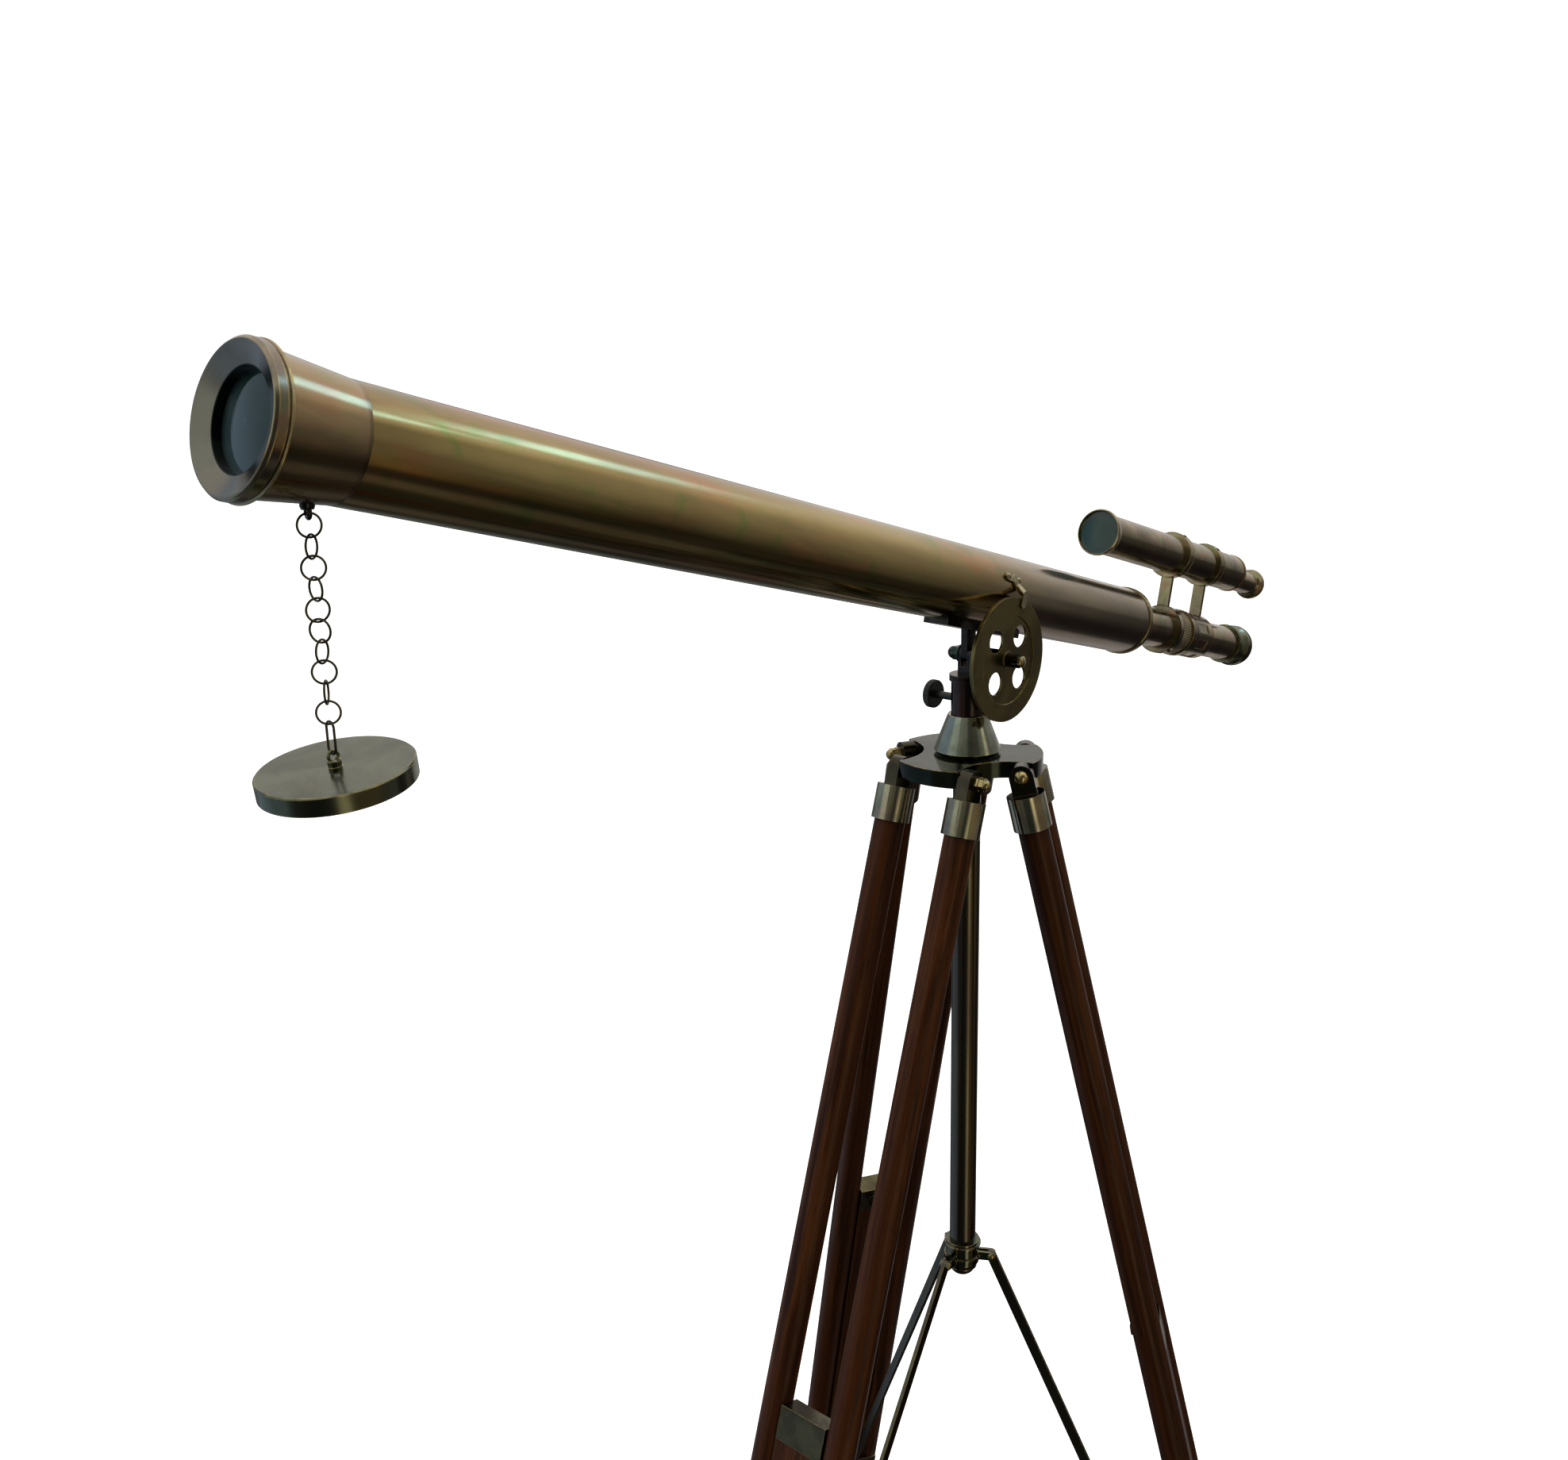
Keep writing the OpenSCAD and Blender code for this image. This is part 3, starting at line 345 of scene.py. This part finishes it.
cone_bronze = metal("turned_cone_bronze", (0.36, 0.37, 0.30), (0.18, 0.19, 0.15), 0.17,
                    (HUB, Vector((0, 0, 1)), Vector((1, 0, 0)), SIDE), lathe=0.6,
                    tint=0.2, speckle=0.3, coat=0.3, edge=0.0005, wear=1.0,
                    worn=(0.85, 0.70, 0.32), patch=30.0)
EAR_TONE = (0.066, 0.055, 0.034)
EAR_START, EAR_FULL = -0.0136, -0.0128      # where a ferrule's darker ear begins, below the hinge
ferrule_brass = [metal("ferrule_brass_%d" % (i + 1), (0.44, 0.40, 0.28), (0.25, 0.23, 0.17), 0.15,
                       leg_frame(i), tint=0.8, speckle=0.2, coat=0.25, edge=0.0004, wear=0.9,
                       worn=(0.80, 0.68, 0.38), patch=40.0,
                       shade=((0, 0, 1), EAR_START, EAR_FULL, EAR_TONE)) for i in range(3)]
strap_brass = metal("strap_brass", (0.46, 0.40, 0.24), (0.27, 0.23, 0.15), 0.17, WORLD_AXES, tint=0.5,
                    speckle=0.3, coat=0.25, edge=0.0003, wear=0.9, patch=90.0)
slider_brass = metal("slider_end_brass", (0.130, 0.112, 0.060), (0.070, 0.060, 0.036), 0.22,
                     WORLD_AXES, tint=0.3, speckle=0.3, coat=0.1, edge=0.0003, wear=0.8, patch=60.0)
# painted shade: the shaft is painted near black all along, up to its outer end, which alone keeps the
# bright brass
pivot_brass = metal("pivot_shaft_brass", (0.55, 0.46, 0.24), (0.33, 0.27, 0.14), 0.2,
                    (PIVOT, SIDE, AXIS, ABOVE), tint=0.2, speckle=0.3, edge=0.0003, wear=0.5,
                    patch=120.0, shade=((1, 0, 0), 0.0432, 0.0426, (0.030, 0.022, 0.014)))
bolt_brass = metal("bright_bolt_brass", (0.62, 0.49, 0.22), (0.36, 0.28, 0.13), 0.2, WORLD_AXES,
                   tint=0.1, speckle=0.3, coat=0.2, edge=0.0003, wear=0.9, patch=120.0)
# near-black bronze: the screws' own dark finish, and painted shade on the fork, saddle and chain's
# lug, which sit in shadow
dark_bronze_and_shade = metal("blackened_bronze_and_shade", (0.034, 0.029, 0.025), (0.014, 0.012, 0.012), 0.24,
                    WORLD_AXES, tint=0.1, speckle=0.25, coat=0.35, edge=0.0004, wear=0.5,
                    worn=(0.30, 0.24, 0.14), patch=60.0)
socket_bronze = metal("purple_brown_socket", (0.065, 0.034, 0.030), (0.025, 0.017, 0.016), 0.22,
                      (HUB, Vector((0, 0, 1)), Vector((1, 0, 0)), SIDE), lathe=0.5,
                      tint=0.08, speckle=0.25, coat=0.3, edge=0.0004, wear=0.6,
                      worn=(0.34, 0.26, 0.18), patch=60.0)
nut_green = metal("green_black_nut", (0.020, 0.055, 0.045), (0.010, 0.024, 0.020), 0.2, WORLD_AXES,
                  tint=0.0, speckle=0.2, coat=0.4, edge=0.0003, wear=0.4, patch=80.0)
chain_brass = metal("old_chain_brass", (0.12, 0.10, 0.055), (0.04, 0.035, 0.025), 0.26, WORLD_AXES,
                    tint=0.15, speckle=0.5, coat=0.15, edge=0.0001, wear=0.0, patch=120.0)
cap_brass = metal("cap_brass", (0.150, 0.162, 0.108), (0.100, 0.102, 0.068), 0.2,
                  (CAP, CAP_UP, Vector((1, 0, 0)), SIDE), tint=0.15, speckle=0.35, coat=0.1,
                  edge=0.0005, wear=0.9, worn=(0.60, 0.50, 0.24), patch=30.0)
knob_black = moulded("black_knob", (0.010, 0.012, 0.011), 0.3, 0.00002, 900.0)
rubber = moulded("foot_rubber", (0.018, 0.018, 0.018), 0.72, 0.00008, 500.0, 0.35)
objective_glass = coated_glass("objective_glass", TUBE + OBJECTIVE * AXIS, AXIS, 0.0231)
finder_glass = coated_glass("finder_glass", FINDER + FINDER_LENS * AXIS, AXIS, 0.0164,
                            (0.003, 0.026, 0.020), (0.006, 0.036, 0.032))
eye_glass = coated_glass("eye_glass", TUBE + EYE_LENS * AXIS, -AXIS, 0.008)
woods = [wood("mahogany_leg_%d" % (i + 1), i, (1.0, 0.8, 0.92)[i]) for i in range(3)]

FINISHES = {
    "hub_plate": plate_bronze, "hub_cone": cone_bronze, "centre_column": column_bronze,
    "column_end_cap": column_bronze, "leg_bolts": bolt_brass, "brace_collar": stand_bronze,
    "brace_pins": bolt_brass, "pan_socket": socket_bronze, "pan_fork": dark_bronze_and_shade,
    "pan_clamp_knob": knob_black, "pivot_bolt": pivot_brass, "pivot_nut": nut_green,
    "wheel_spacer": dark_bronze_and_shade, "altitude_wheel": wheel_bronze, "wheel_bracket": strap_brass,
    "saddle": dark_bronze_and_shade, "main_tube": tube_brass, "flared_hood": hood_brass,
    "objective_ring": rim_brass, "objective_lens": objective_glass, "tube_end_ring": rear_brass,
    "rear_sleeve": rear_brass, "sleeve_collars": rear_brass, "eye_tube": rear_brass,
    "eyepiece_cup": eye_bronze, "eye_lens": eye_glass, "finder_tube": rear_brass,
    "finder_clamps": rear_brass, "finder_lens": finder_glass, "finder_end_ring": rear_brass,
    "finder_eyepiece": rear_brass, "chain_lug": dark_bronze_and_shade, "chain_upper": chain_brass,
    "chain_lower": chain_brass, "chain_hook": chain_brass, "lens_cap": cap_brass,
}
for i in range(3):
    FINISHES["brace_%d" % (i + 1)] = column_bronze
    for part, finish in (("rails", woods[i]), ("ferrules", ferrule_brass[i]),
                         ("brackets", strap_brass), ("knob", knob_black), ("slider", woods[i]),
                         ("slider_cap", slider_brass), ("foot", rubber)):
        FINISHES["leg_%d_%s" % (i + 1, part)] = finish


def paint(piece, finish):
    if not piece.material_slots:
        piece.data.materials.append(finish)
    for place in piece.material_slots:
        place.material = finish


for name, finish in FINISHES.items():
    paint(NODES[name], finish)

# ---------------------------------------------------------------- added pieces


def piece_from(name, bm, finish, body, smooth=math.radians(35)):
    mesh = bpy.data.meshes.new(name)
    bmesh.ops.remove_doubles(bm, verts=bm.verts, dist=1e-6)
    bmesh.ops.recalc_face_normals(bm, faces=bm.faces)
    bm.to_mesh(mesh)
    bm.free()
    made = bpy.data.objects.new(name, mesh)
    bpy.context.scene.collection.objects.link(made)
    mesh.shade_smooth()
    mesh.set_sharp_from_angle(angle=smooth)
    paint(made, finish)
    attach(made, body)
    return made


def stand_on(origin, direction):
    """The matrix that takes +Z to a direction at a place."""
    return Matrix.Translation(origin) @ direction.to_track_quat("Z", "Y").to_matrix().to_4x4()


def add_turned(bm, place, profile, steps=64, ridges=0, depth=0.0, ridged=()):
    """A closed ring turned from (radius, height) points; the listed points carry fine ridges."""
    rings = []
    count = steps if not ridges else 4 * ridges
    for k in range(count):
        a = 2 * math.pi * k / count
        cut = depth if ridges and k % 4 in (0, 1) else 0.0
        row = []
        for j, (r, h) in enumerate(profile):
            radius = r - (cut if j in ridged else 0.0)
            row.append(bm.verts.new(place @ Vector((radius * math.cos(a), radius * math.sin(a), h))))
        rings.append(row)
    size = len(profile)
    for k in range(count):
        here, after = rings[k], rings[(k + 1) % count]
        for j in range(size):
            bm.faces.new((here[j], after[j], after[(j + 1) % size], here[(j + 1) % size]))


def add_screw(bm, place, radius, height, slot_turn=0.0, rows=7, steps=32):
    """A low round screw head with a sunk slot across it."""
    slot_half = 0.16 * radius
    turn = Matrix.Rotation(slot_turn, 4, "Z")
    grid = []
    for j in range(rows + 1):
        q = j / rows
        r = radius * math.sin(q * math.pi / 2)
        h = height * (0.25 + 0.75 * math.cos(q * math.pi / 2)) if j < rows else 0.25 * height
        row = []
        for k in range(steps):
            a = 2 * math.pi * k / steps
            x, y = r * math.cos(a), r * math.sin(a)
            sink = 0.5 * height if abs(y) < slot_half else 0.0
            row.append(bm.verts.new(place @ turn @ Vector((x, y, max(h - sink, 0.15 * height)))))
        grid.append(row)
    foot = [bm.verts.new(place @ turn @ Vector((radius * math.cos(2 * math.pi * k / steps),
                                                radius * math.sin(2 * math.pi * k / steps),
                                                -0.3 * height))) for k in range(steps)]
    grid.append(foot)
    for j in range(len(grid) - 1):
        for k in range(steps):
            n = (k + 1) % steps
            bm.faces.new((grid[j][k], grid[j][n], grid[j + 1][n], grid[j + 1][k]))
    bm.faces.new(foot)


def around(centre, station, radius, angle):
    """A place on a round part of the tube or finder, and the direction that faces outward there."""
    out = math.cos(angle) * SIDE + math.sin(angle) * ABOVE
    return centre + station * AXIS + radius * out, out


def beads(points, radius, place, name, finish, body):
    """Rounded turned rings: each is (station, height of its middle radius)."""
    bm = bmesh.new()
    for h, r in points:
        profile = []
        for k in range(10):
            a = 2 * math.pi * k / 10
            profile.append((r + radius * math.cos(a), h + radius * math.sin(a)))
        add_turned(bm, place, profile, 96)
    return piece_from(name, bm, finish, body)


tube_place = stand_on(TUBE, AXIS)
finder_place = stand_on(FINDER, AXIS)

# the flared hood, with the tube running straight up to its seam, and the post of the chain's lug
TUBE_RADIUS, TUBE_TAPER = 0.02675, 0.003
TUBE_END, LAP = 0.505, 0.005        # where the plain tube ends, and how far the shell laps over it
HOOD_FRONT = (0.0326, 0.5592)       # (radius, station)
SHELL, COVER = 0.0010, 0.00002      # the shells' wall, and how far one stands over the tube


def tube_radius(station):
    return TUBE_RADIUS + TUBE_TAPER * station


def shell_piece(name, back, front, finish):
    """A thin turned shell between two (radius, station) points."""
    bm = bmesh.new()
    inner = [(radius - SHELL, station) for radius, station in (front, back)]
    add_turned(bm, tube_place, [back, front, *inner], 192)
    return piece_from(name, bm, finish, "telescope")


seam_radius = tube_radius(SEAM)
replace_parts(shell_piece("hood_shell", (seam_radius, SEAM), HOOD_FRONT, hood_brass),
            "flared_hood")
shell_piece("tube_front", (tube_radius(TUBE_END - LAP) + COVER, TUBE_END - LAP),
            (seam_radius + COVER, SEAM), tube_front_brass)

LUG = CHAIN + Vector((0, 0, 0.22175))         # the middle of the lug's eye
LUG_RADIUS = 0.0034
LUG_FOOT = ((0.62, 0.0013), (0.88, 0.0017), (1.0, 0.0024))  # (share of the radius, height)


def under_hood(x, y):
    """The height at which a vertical line meets the underside of the hood."""
    low, high = LUG.z, LUG.z + 0.02
    for _ in range(24):
        z = (low + high) / 2
        off = Vector((LUG.x + x, LUG.y + y, z)) - TUBE
        station = off.dot(AXIS)
        share = (station - SEAM) / (HOOD_FRONT[1] - SEAM)
        radius = seam_radius + share * (HOOD_FRONT[0] - seam_radius)
        if math.hypot(off.dot(SIDE), off.dot(ABOVE)) > radius - SHELL / 2:
            low = z
        else:
            high = z
    return low - LUG.z


# the lug's post is painted near black, partly as painted shade under the hood
bm = bmesh.new()
steps = 32
rows = [[] for _ in range(len(LUG_FOOT) + 1)]
for k in range(steps):
    a = 2 * math.pi * k / steps
    x, y = LUG_RADIUS * math.cos(a), LUG_RADIUS * math.sin(a)
    for row, (share, rise) in zip(rows, LUG_FOOT):
        row.append(bm.verts.new(LUG + Vector((share * x, share * y, rise))))
    rows[-1].append(bm.verts.new(LUG + Vector((x, y, under_hood(x, y)))))
for below, above in zip(rows, rows[1:]):
    for k in range(steps):
        n = (k + 1) % steps
        bm.faces.new((below[k], below[n], above[n], above[k]))
bm.faces.new(rows[0])
bm.faces.new(rows[-1])
piece_from("lug_post", bm, dark_bronze_and_shade, "telescope")

# the knurled barrel between the two clamp rings
bm = bmesh.new()
add_turned(bm, tube_place, [(0.0182, -0.3045), (0.0188, -0.3040), (0.0190, -0.3030),
                            (0.0190, -0.2870), (0.0188, -0.2860), (0.0182, -0.2855)],
           ridges=84, depth=0.00045, ridged=(2, 3))
piece_from("barrel_knurling", bm, rear_brass, "telescope")

# knurled grip of the clamp knob: a thin disc with fine teeth
bm = bmesh.new()
add_turned(bm, stand_on(CLAMP_KNOB, Vector((0, -1, 0))),
           [(0.0090, -0.0003), (0.0098, 0.0000), (0.0103, 0.0006), (0.0103, 0.0044),
            (0.0098, 0.0050), (0.0090, 0.0054), (0.0060, 0.0056), (0.0060, 0.0046)],
           ridges=40, depth=0.00055, ridged=(2, 3))
piece_from("clamp_knob_grip", bm, knob_black, "pan_clamp_knob")

# fluted grips of the leg clamp knobs
for i in range(3):
    place, out, along, up = leg_frame(i)
    bm = bmesh.new()
    add_turned(bm, stand_on(place - LEG_KNOB_DOWN * up + LEG_KNOB_OUT * out, out),
               [(0.0086, -0.0002), (0.0093, 0.0004), (0.0099, 0.0014), (0.0099, 0.0076),
                (0.0093, 0.0087), (0.0080, 0.0092), (0.0050, 0.0095), (0.0050, 0.0085)],
               ridges=18, depth=0.0008, ridged=(2, 3))
    piece_from("leg_%d_knob_grip" % (i + 1), bm, knob_black, "leg_%d_knob" % (i + 1))

# small turned beads that finish the edges of the brass tubes: (station, radius)
beads([(-0.2105, 0.02705)], 0.00022, tube_place, "tube_beads", rear_brass,
      "telescope")
beads([(0.5603, 0.03505)], 0.0004, tube_place, "front_bead", bolt_brass, "telescope")
beads([(-0.279, 0.0201), (-0.285, 0.0201), (-0.310, 0.0198), (-0.3455, 0.0187), (-0.316, 0.0188)],
      0.0003, tube_place, "collar_beads", rim_brass, "telescope")
beads([(-0.4071, 0.01725), (-0.4271, 0.01815)], 0.00035, tube_place, "eyepiece_beads", rim_brass,
      "eyepiece")
beads([(-0.276, 0.0190), (-0.283, 0.0190), (-0.338, 0.0183), (-0.345, 0.0183)], 0.0003,
      finder_place, "finder_beads", rear_brass, "telescope")
beads([(-0.4425, 0.01335)], 0.0003, stand_on(FINDER_EYE, AXIS), "finder_cup_bead", rim_brass,
      "finder_focus")

# screws in the sleeve's collars, the finder's rings and the cone: (station, radius, angle)
bm = bmesh.new()
for station, radius, angle in ((-0.295, 0.0190, 62), (-0.331, 0.0189, 62), (-0.282, 0.0203, -58),
                               (-0.331, 0.0189, 178)):
    spot, out = around(TUBE, station, radius, math.radians(angle))
    add_screw(bm, stand_on(spot, out), 0.0016, 0.0009, 0.6)
for station, radius, angle in ((-0.2795, 0.0191, 60), (-0.3415, 0.0184, 52), (-0.2795, 0.0191, 200),
                               (-0.3415, 0.0184, 200)):
    spot, out = around(FINDER, station, radius, math.radians(angle))
    add_screw(bm, stand_on(spot, out), 0.0015, 0.0009, 0.3)
piece_from("collar_screws", bm, dark_bronze_and_shade, "telescope")

CONE_FOOT, CONE_TOP, CONE_RISE = 0.0240, 0.0143, 0.0250
SCREW_OUT, SCREW_UP = 0.0157, 0.0241
bm = bmesh.new()
slope = math.atan2(CONE_FOOT - CONE_TOP, CONE_RISE)
turn = math.radians(52)
out = Vector((math.cos(turn) * math.cos(slope), math.sin(turn) * math.cos(slope), math.sin(slope)))
spot = HUB + Vector((SCREW_OUT * math.cos(turn), SCREW_OUT * math.sin(turn), SCREW_UP))
add_screw(bm, stand_on(spot, out), 0.0019, 0.0012, 0.4)
piece_from("cone_screw", bm, dark_bronze_and_shade, "stand")

# ---------------------------------------------------------------- light, floor and camera

world = bpy.data.worlds.new("studio")
bpy.context.scene.world = world
world.use_nodes = True
w = Graph(world.node_tree)
direction = w.node("ShaderNodeTexCoord").outputs["Generated"]
height = w.dot(direction, (0, 0, 1))


def toward(azimuth, elevation):
    a, e = math.radians(azimuth), math.radians(elevation)
    return Vector((math.cos(a) * math.cos(e), math.sin(a) * math.cos(e), math.sin(e)))


# (elevation in degrees, brightness)
SKY = [(-90, 0.018), (-64, 0.025), (-58, 0.090), (-51, 0.085), (-47, 0.030), (-33, 0.026),
       (-27, 0.065), (-18, 0.13), (-5, 0.21), (6, 0.31), (18, 0.40), (30, 0.62), (42, 0.78),
       (60, 0.85), (90, 0.95)]
ramp = w.node("ShaderNodeValToRGB")
while len(ramp.color_ramp.elements) < len(SKY):
    ramp.color_ramp.elements.new(0.5)
for stop, (elevation, value) in zip(ramp.color_ramp.elements, SKY):
    stop.position = 0.5 + 0.5 * math.sin(math.radians(elevation))
    stop.color = (value, value * 0.985, value * 0.93, 1)
w.feed(ramp.inputs[0], w.math("ADD", 0.5, w.math("MULTIPLY", height, 0.5)))
sky = ramp.outputs[0]


def glow(azimuth, elevation, inner, outer):
    """1 within the inner angle of a direction, 0 beyond the outer angle."""
    near = w.dot(direction, toward(azimuth, elevation))
    return w.span(near, math.cos(math.radians(outer)), math.cos(math.radians(inner)))


def panel(azimuth, elevation, wide, high, soft):
    """1 inside a rectangle of the sky given by its half angles, 0 beyond a soft border."""
    middle = toward(azimuth, elevation)
    across = Vector((0, 0, 1)).cross(middle).normalized()
    up = middle.cross(across)
    masks = []
    for axis, half in ((across, wide), (up, high)):
        off = w.math("ABSOLUTE", w.dot(direction, axis))
        masks.append(w.span(off, math.sin(math.radians(half + soft)), math.sin(math.radians(half))))
    ahead = w.span(w.dot(direction, middle), 0.0, 0.1)
    return w.math("MULTIPLY", ahead, w.math("MULTIPLY", masks[0], masks[1]))


# what the polished parts mirror:
# (azimuth, elevation, half width, half height, softness, amount, colour), angles in degrees
ROOM = [
    (-55, -8, 26, 30, 12, 0.90, (0.28, 0.36, 0.46)),
    (34, -12, 15, 26, 8, 0.93, (0.030, 0.038, 0.034)),
    (66, -8, 5, 34, 5, 0.90, (1.15, 1.00, 0.66)),
    (100, -14, 17, 17, 8, 0.75, (0.22, 0.16, 0.08)),
    (-118, -14, 18, 18, 10, 0.80, (0.10, 0.12, 0.12)),
    (159, -25, 6, 15, 7, 0.85, (0.022, 0.016, 0.018)),
    (-164, -38, 9, 6, 4, 0.85, (0.44, 0.40, 0.38)),
    (60, 30, 62, 14, 12, 0.75, (0.14, 0.14, 0.11)),
    (-18, 26, 15, 18, 12, 0.85, (0.66, 0.72, 0.68)),
    (58, 26, 16, 18, 10, 0.80, (0.035, 0.035, 0.030)),
    (108, 28, 4, 18, 4, 0.90, (1.00, 0.92, 0.66)),
]
back_wall = w.math("MULTIPLY", glow(-148, 22, 12, 62), 0.55)
sky = w.mix(back_wall, sky, (0.98, 0.93, 0.90))
for azimuth, elevation, wide, high, soft, amount, colour in ROOM:
    sky = w.mix(w.math("MULTIPLY", panel(azimuth, elevation, wide, high, soft), amount), sky, colour)
lamp = w.math("MAXIMUM", panel(173, 34, 5, 2.2, 2.5), panel(151, 37, 3.5, 2.6, 1.5))
sky = w.mix(lamp, sky, (1.7, 3.0, 4.2))

seen = w.node("ShaderNodeBackground")
w.feed(seen.inputs[0], (1, 1, 1, 1))
w.feed(seen.inputs[1], 1.1)
lit = w.node("ShaderNodeBackground")
w.feed(lit.inputs[0], sky)
w.feed(lit.inputs[1], 1.0)
choose = w.node("ShaderNodeMixShader")
w.feed(choose.inputs[0], w.node("ShaderNodeLightPath").outputs["Is Camera Ray"])
w.feed(choose.inputs[1], lit.outputs[0])
w.feed(choose.inputs[2], seen.outputs[0])
w.feed(w.node("ShaderNodeOutputWorld").inputs[0], choose.outputs[0])


def area(name, azimuth, elevation, distance, size, power, colour, target=(0, 0, 1.0)):
    data = bpy.data.lights.new(name, "AREA")
    data.shape, data.size, data.energy, data.color = "DISK", size, power, colour
    made = bpy.data.objects.new(name, data)
    bpy.context.scene.collection.objects.link(made)
    made.location = Vector(target) + distance * toward(azimuth, elevation)
    made.rotation_euler = (-toward(azimuth, elevation)).to_track_quat("-Z", "Y").to_euler()
    made.visible_glossy = False
    return made


area("key", -48, 30, 3.2, 1.4, 22, (1.0, 0.93, 0.84))
area("fill", 60, 40, 3.4, 2.0, 5, (1.0, 0.95, 0.88))
area("top", 180, 80, 3.0, 2.4, 20, (1.0, 0.97, 0.93), (0, 0, 0.4))

bm = bmesh.new()
bmesh.ops.create_grid(bm, x_segments=8, y_segments=8, size=40.0)
mesh = bpy.data.meshes.new("floor")
bm.to_mesh(mesh)
bm.free()
floor = bpy.data.objects.new("floor", mesh)
bpy.context.scene.collection.objects.link(floor)
floor.location.z = -0.0005
floor_paint, g = new_material("pale_floor")
base = g.node("ShaderNodeBsdfPrincipled")
g.feed(base.inputs["Base Color"], (0.9, 0.9, 0.9, 1))
g.feed(base.inputs["Roughness"], 0.8)
g.feed(base.inputs["Emission Color"], (1, 1, 1, 1))
g.feed(base.inputs["Emission Strength"], 0.72)
g.feed(g.node("ShaderNodeOutputMaterial").inputs[0], base.outputs[0])
paint(floor, floor_paint)
floor.visible_glossy = False
floor.visible_diffuse = False

YAW, PITCH, ROLL = 2.300, 0.2583, -0.0226     # in radians
LENS, SENSOR = 34.37, 36.0
VIEWPOINT = HUB + Vector((0.8586, 0.5912, 0.2922))
forward = Vector((-math.sin(YAW) * math.cos(PITCH), math.cos(YAW) * math.cos(PITCH),
                  -math.sin(PITCH)))
right = Vector((math.cos(YAW), math.sin(YAW), 0))
upward = right.cross(forward)
turned_right = math.cos(ROLL) * right + math.sin(ROLL) * upward
turned_up = -math.sin(ROLL) * right + math.cos(ROLL) * upward
camera_data = bpy.data.cameras.new("camera")
camera_data.sensor_width, camera_data.lens = SENSOR, LENS
camera_data.clip_start, camera_data.clip_end = 0.02, 200.0
camera = bpy.data.objects.new("camera", camera_data)
bpy.context.scene.collection.objects.link(camera)
turn = Matrix((turned_right, turned_up, -forward)).transposed().to_4x4()
camera.matrix_world = Matrix.Translation(VIEWPOINT) @ turn
bpy.context.scene.camera = camera
bpy.context.scene.view_settings.view_transform = "Standard"
bpy.context.scene.view_settings.look = "None"
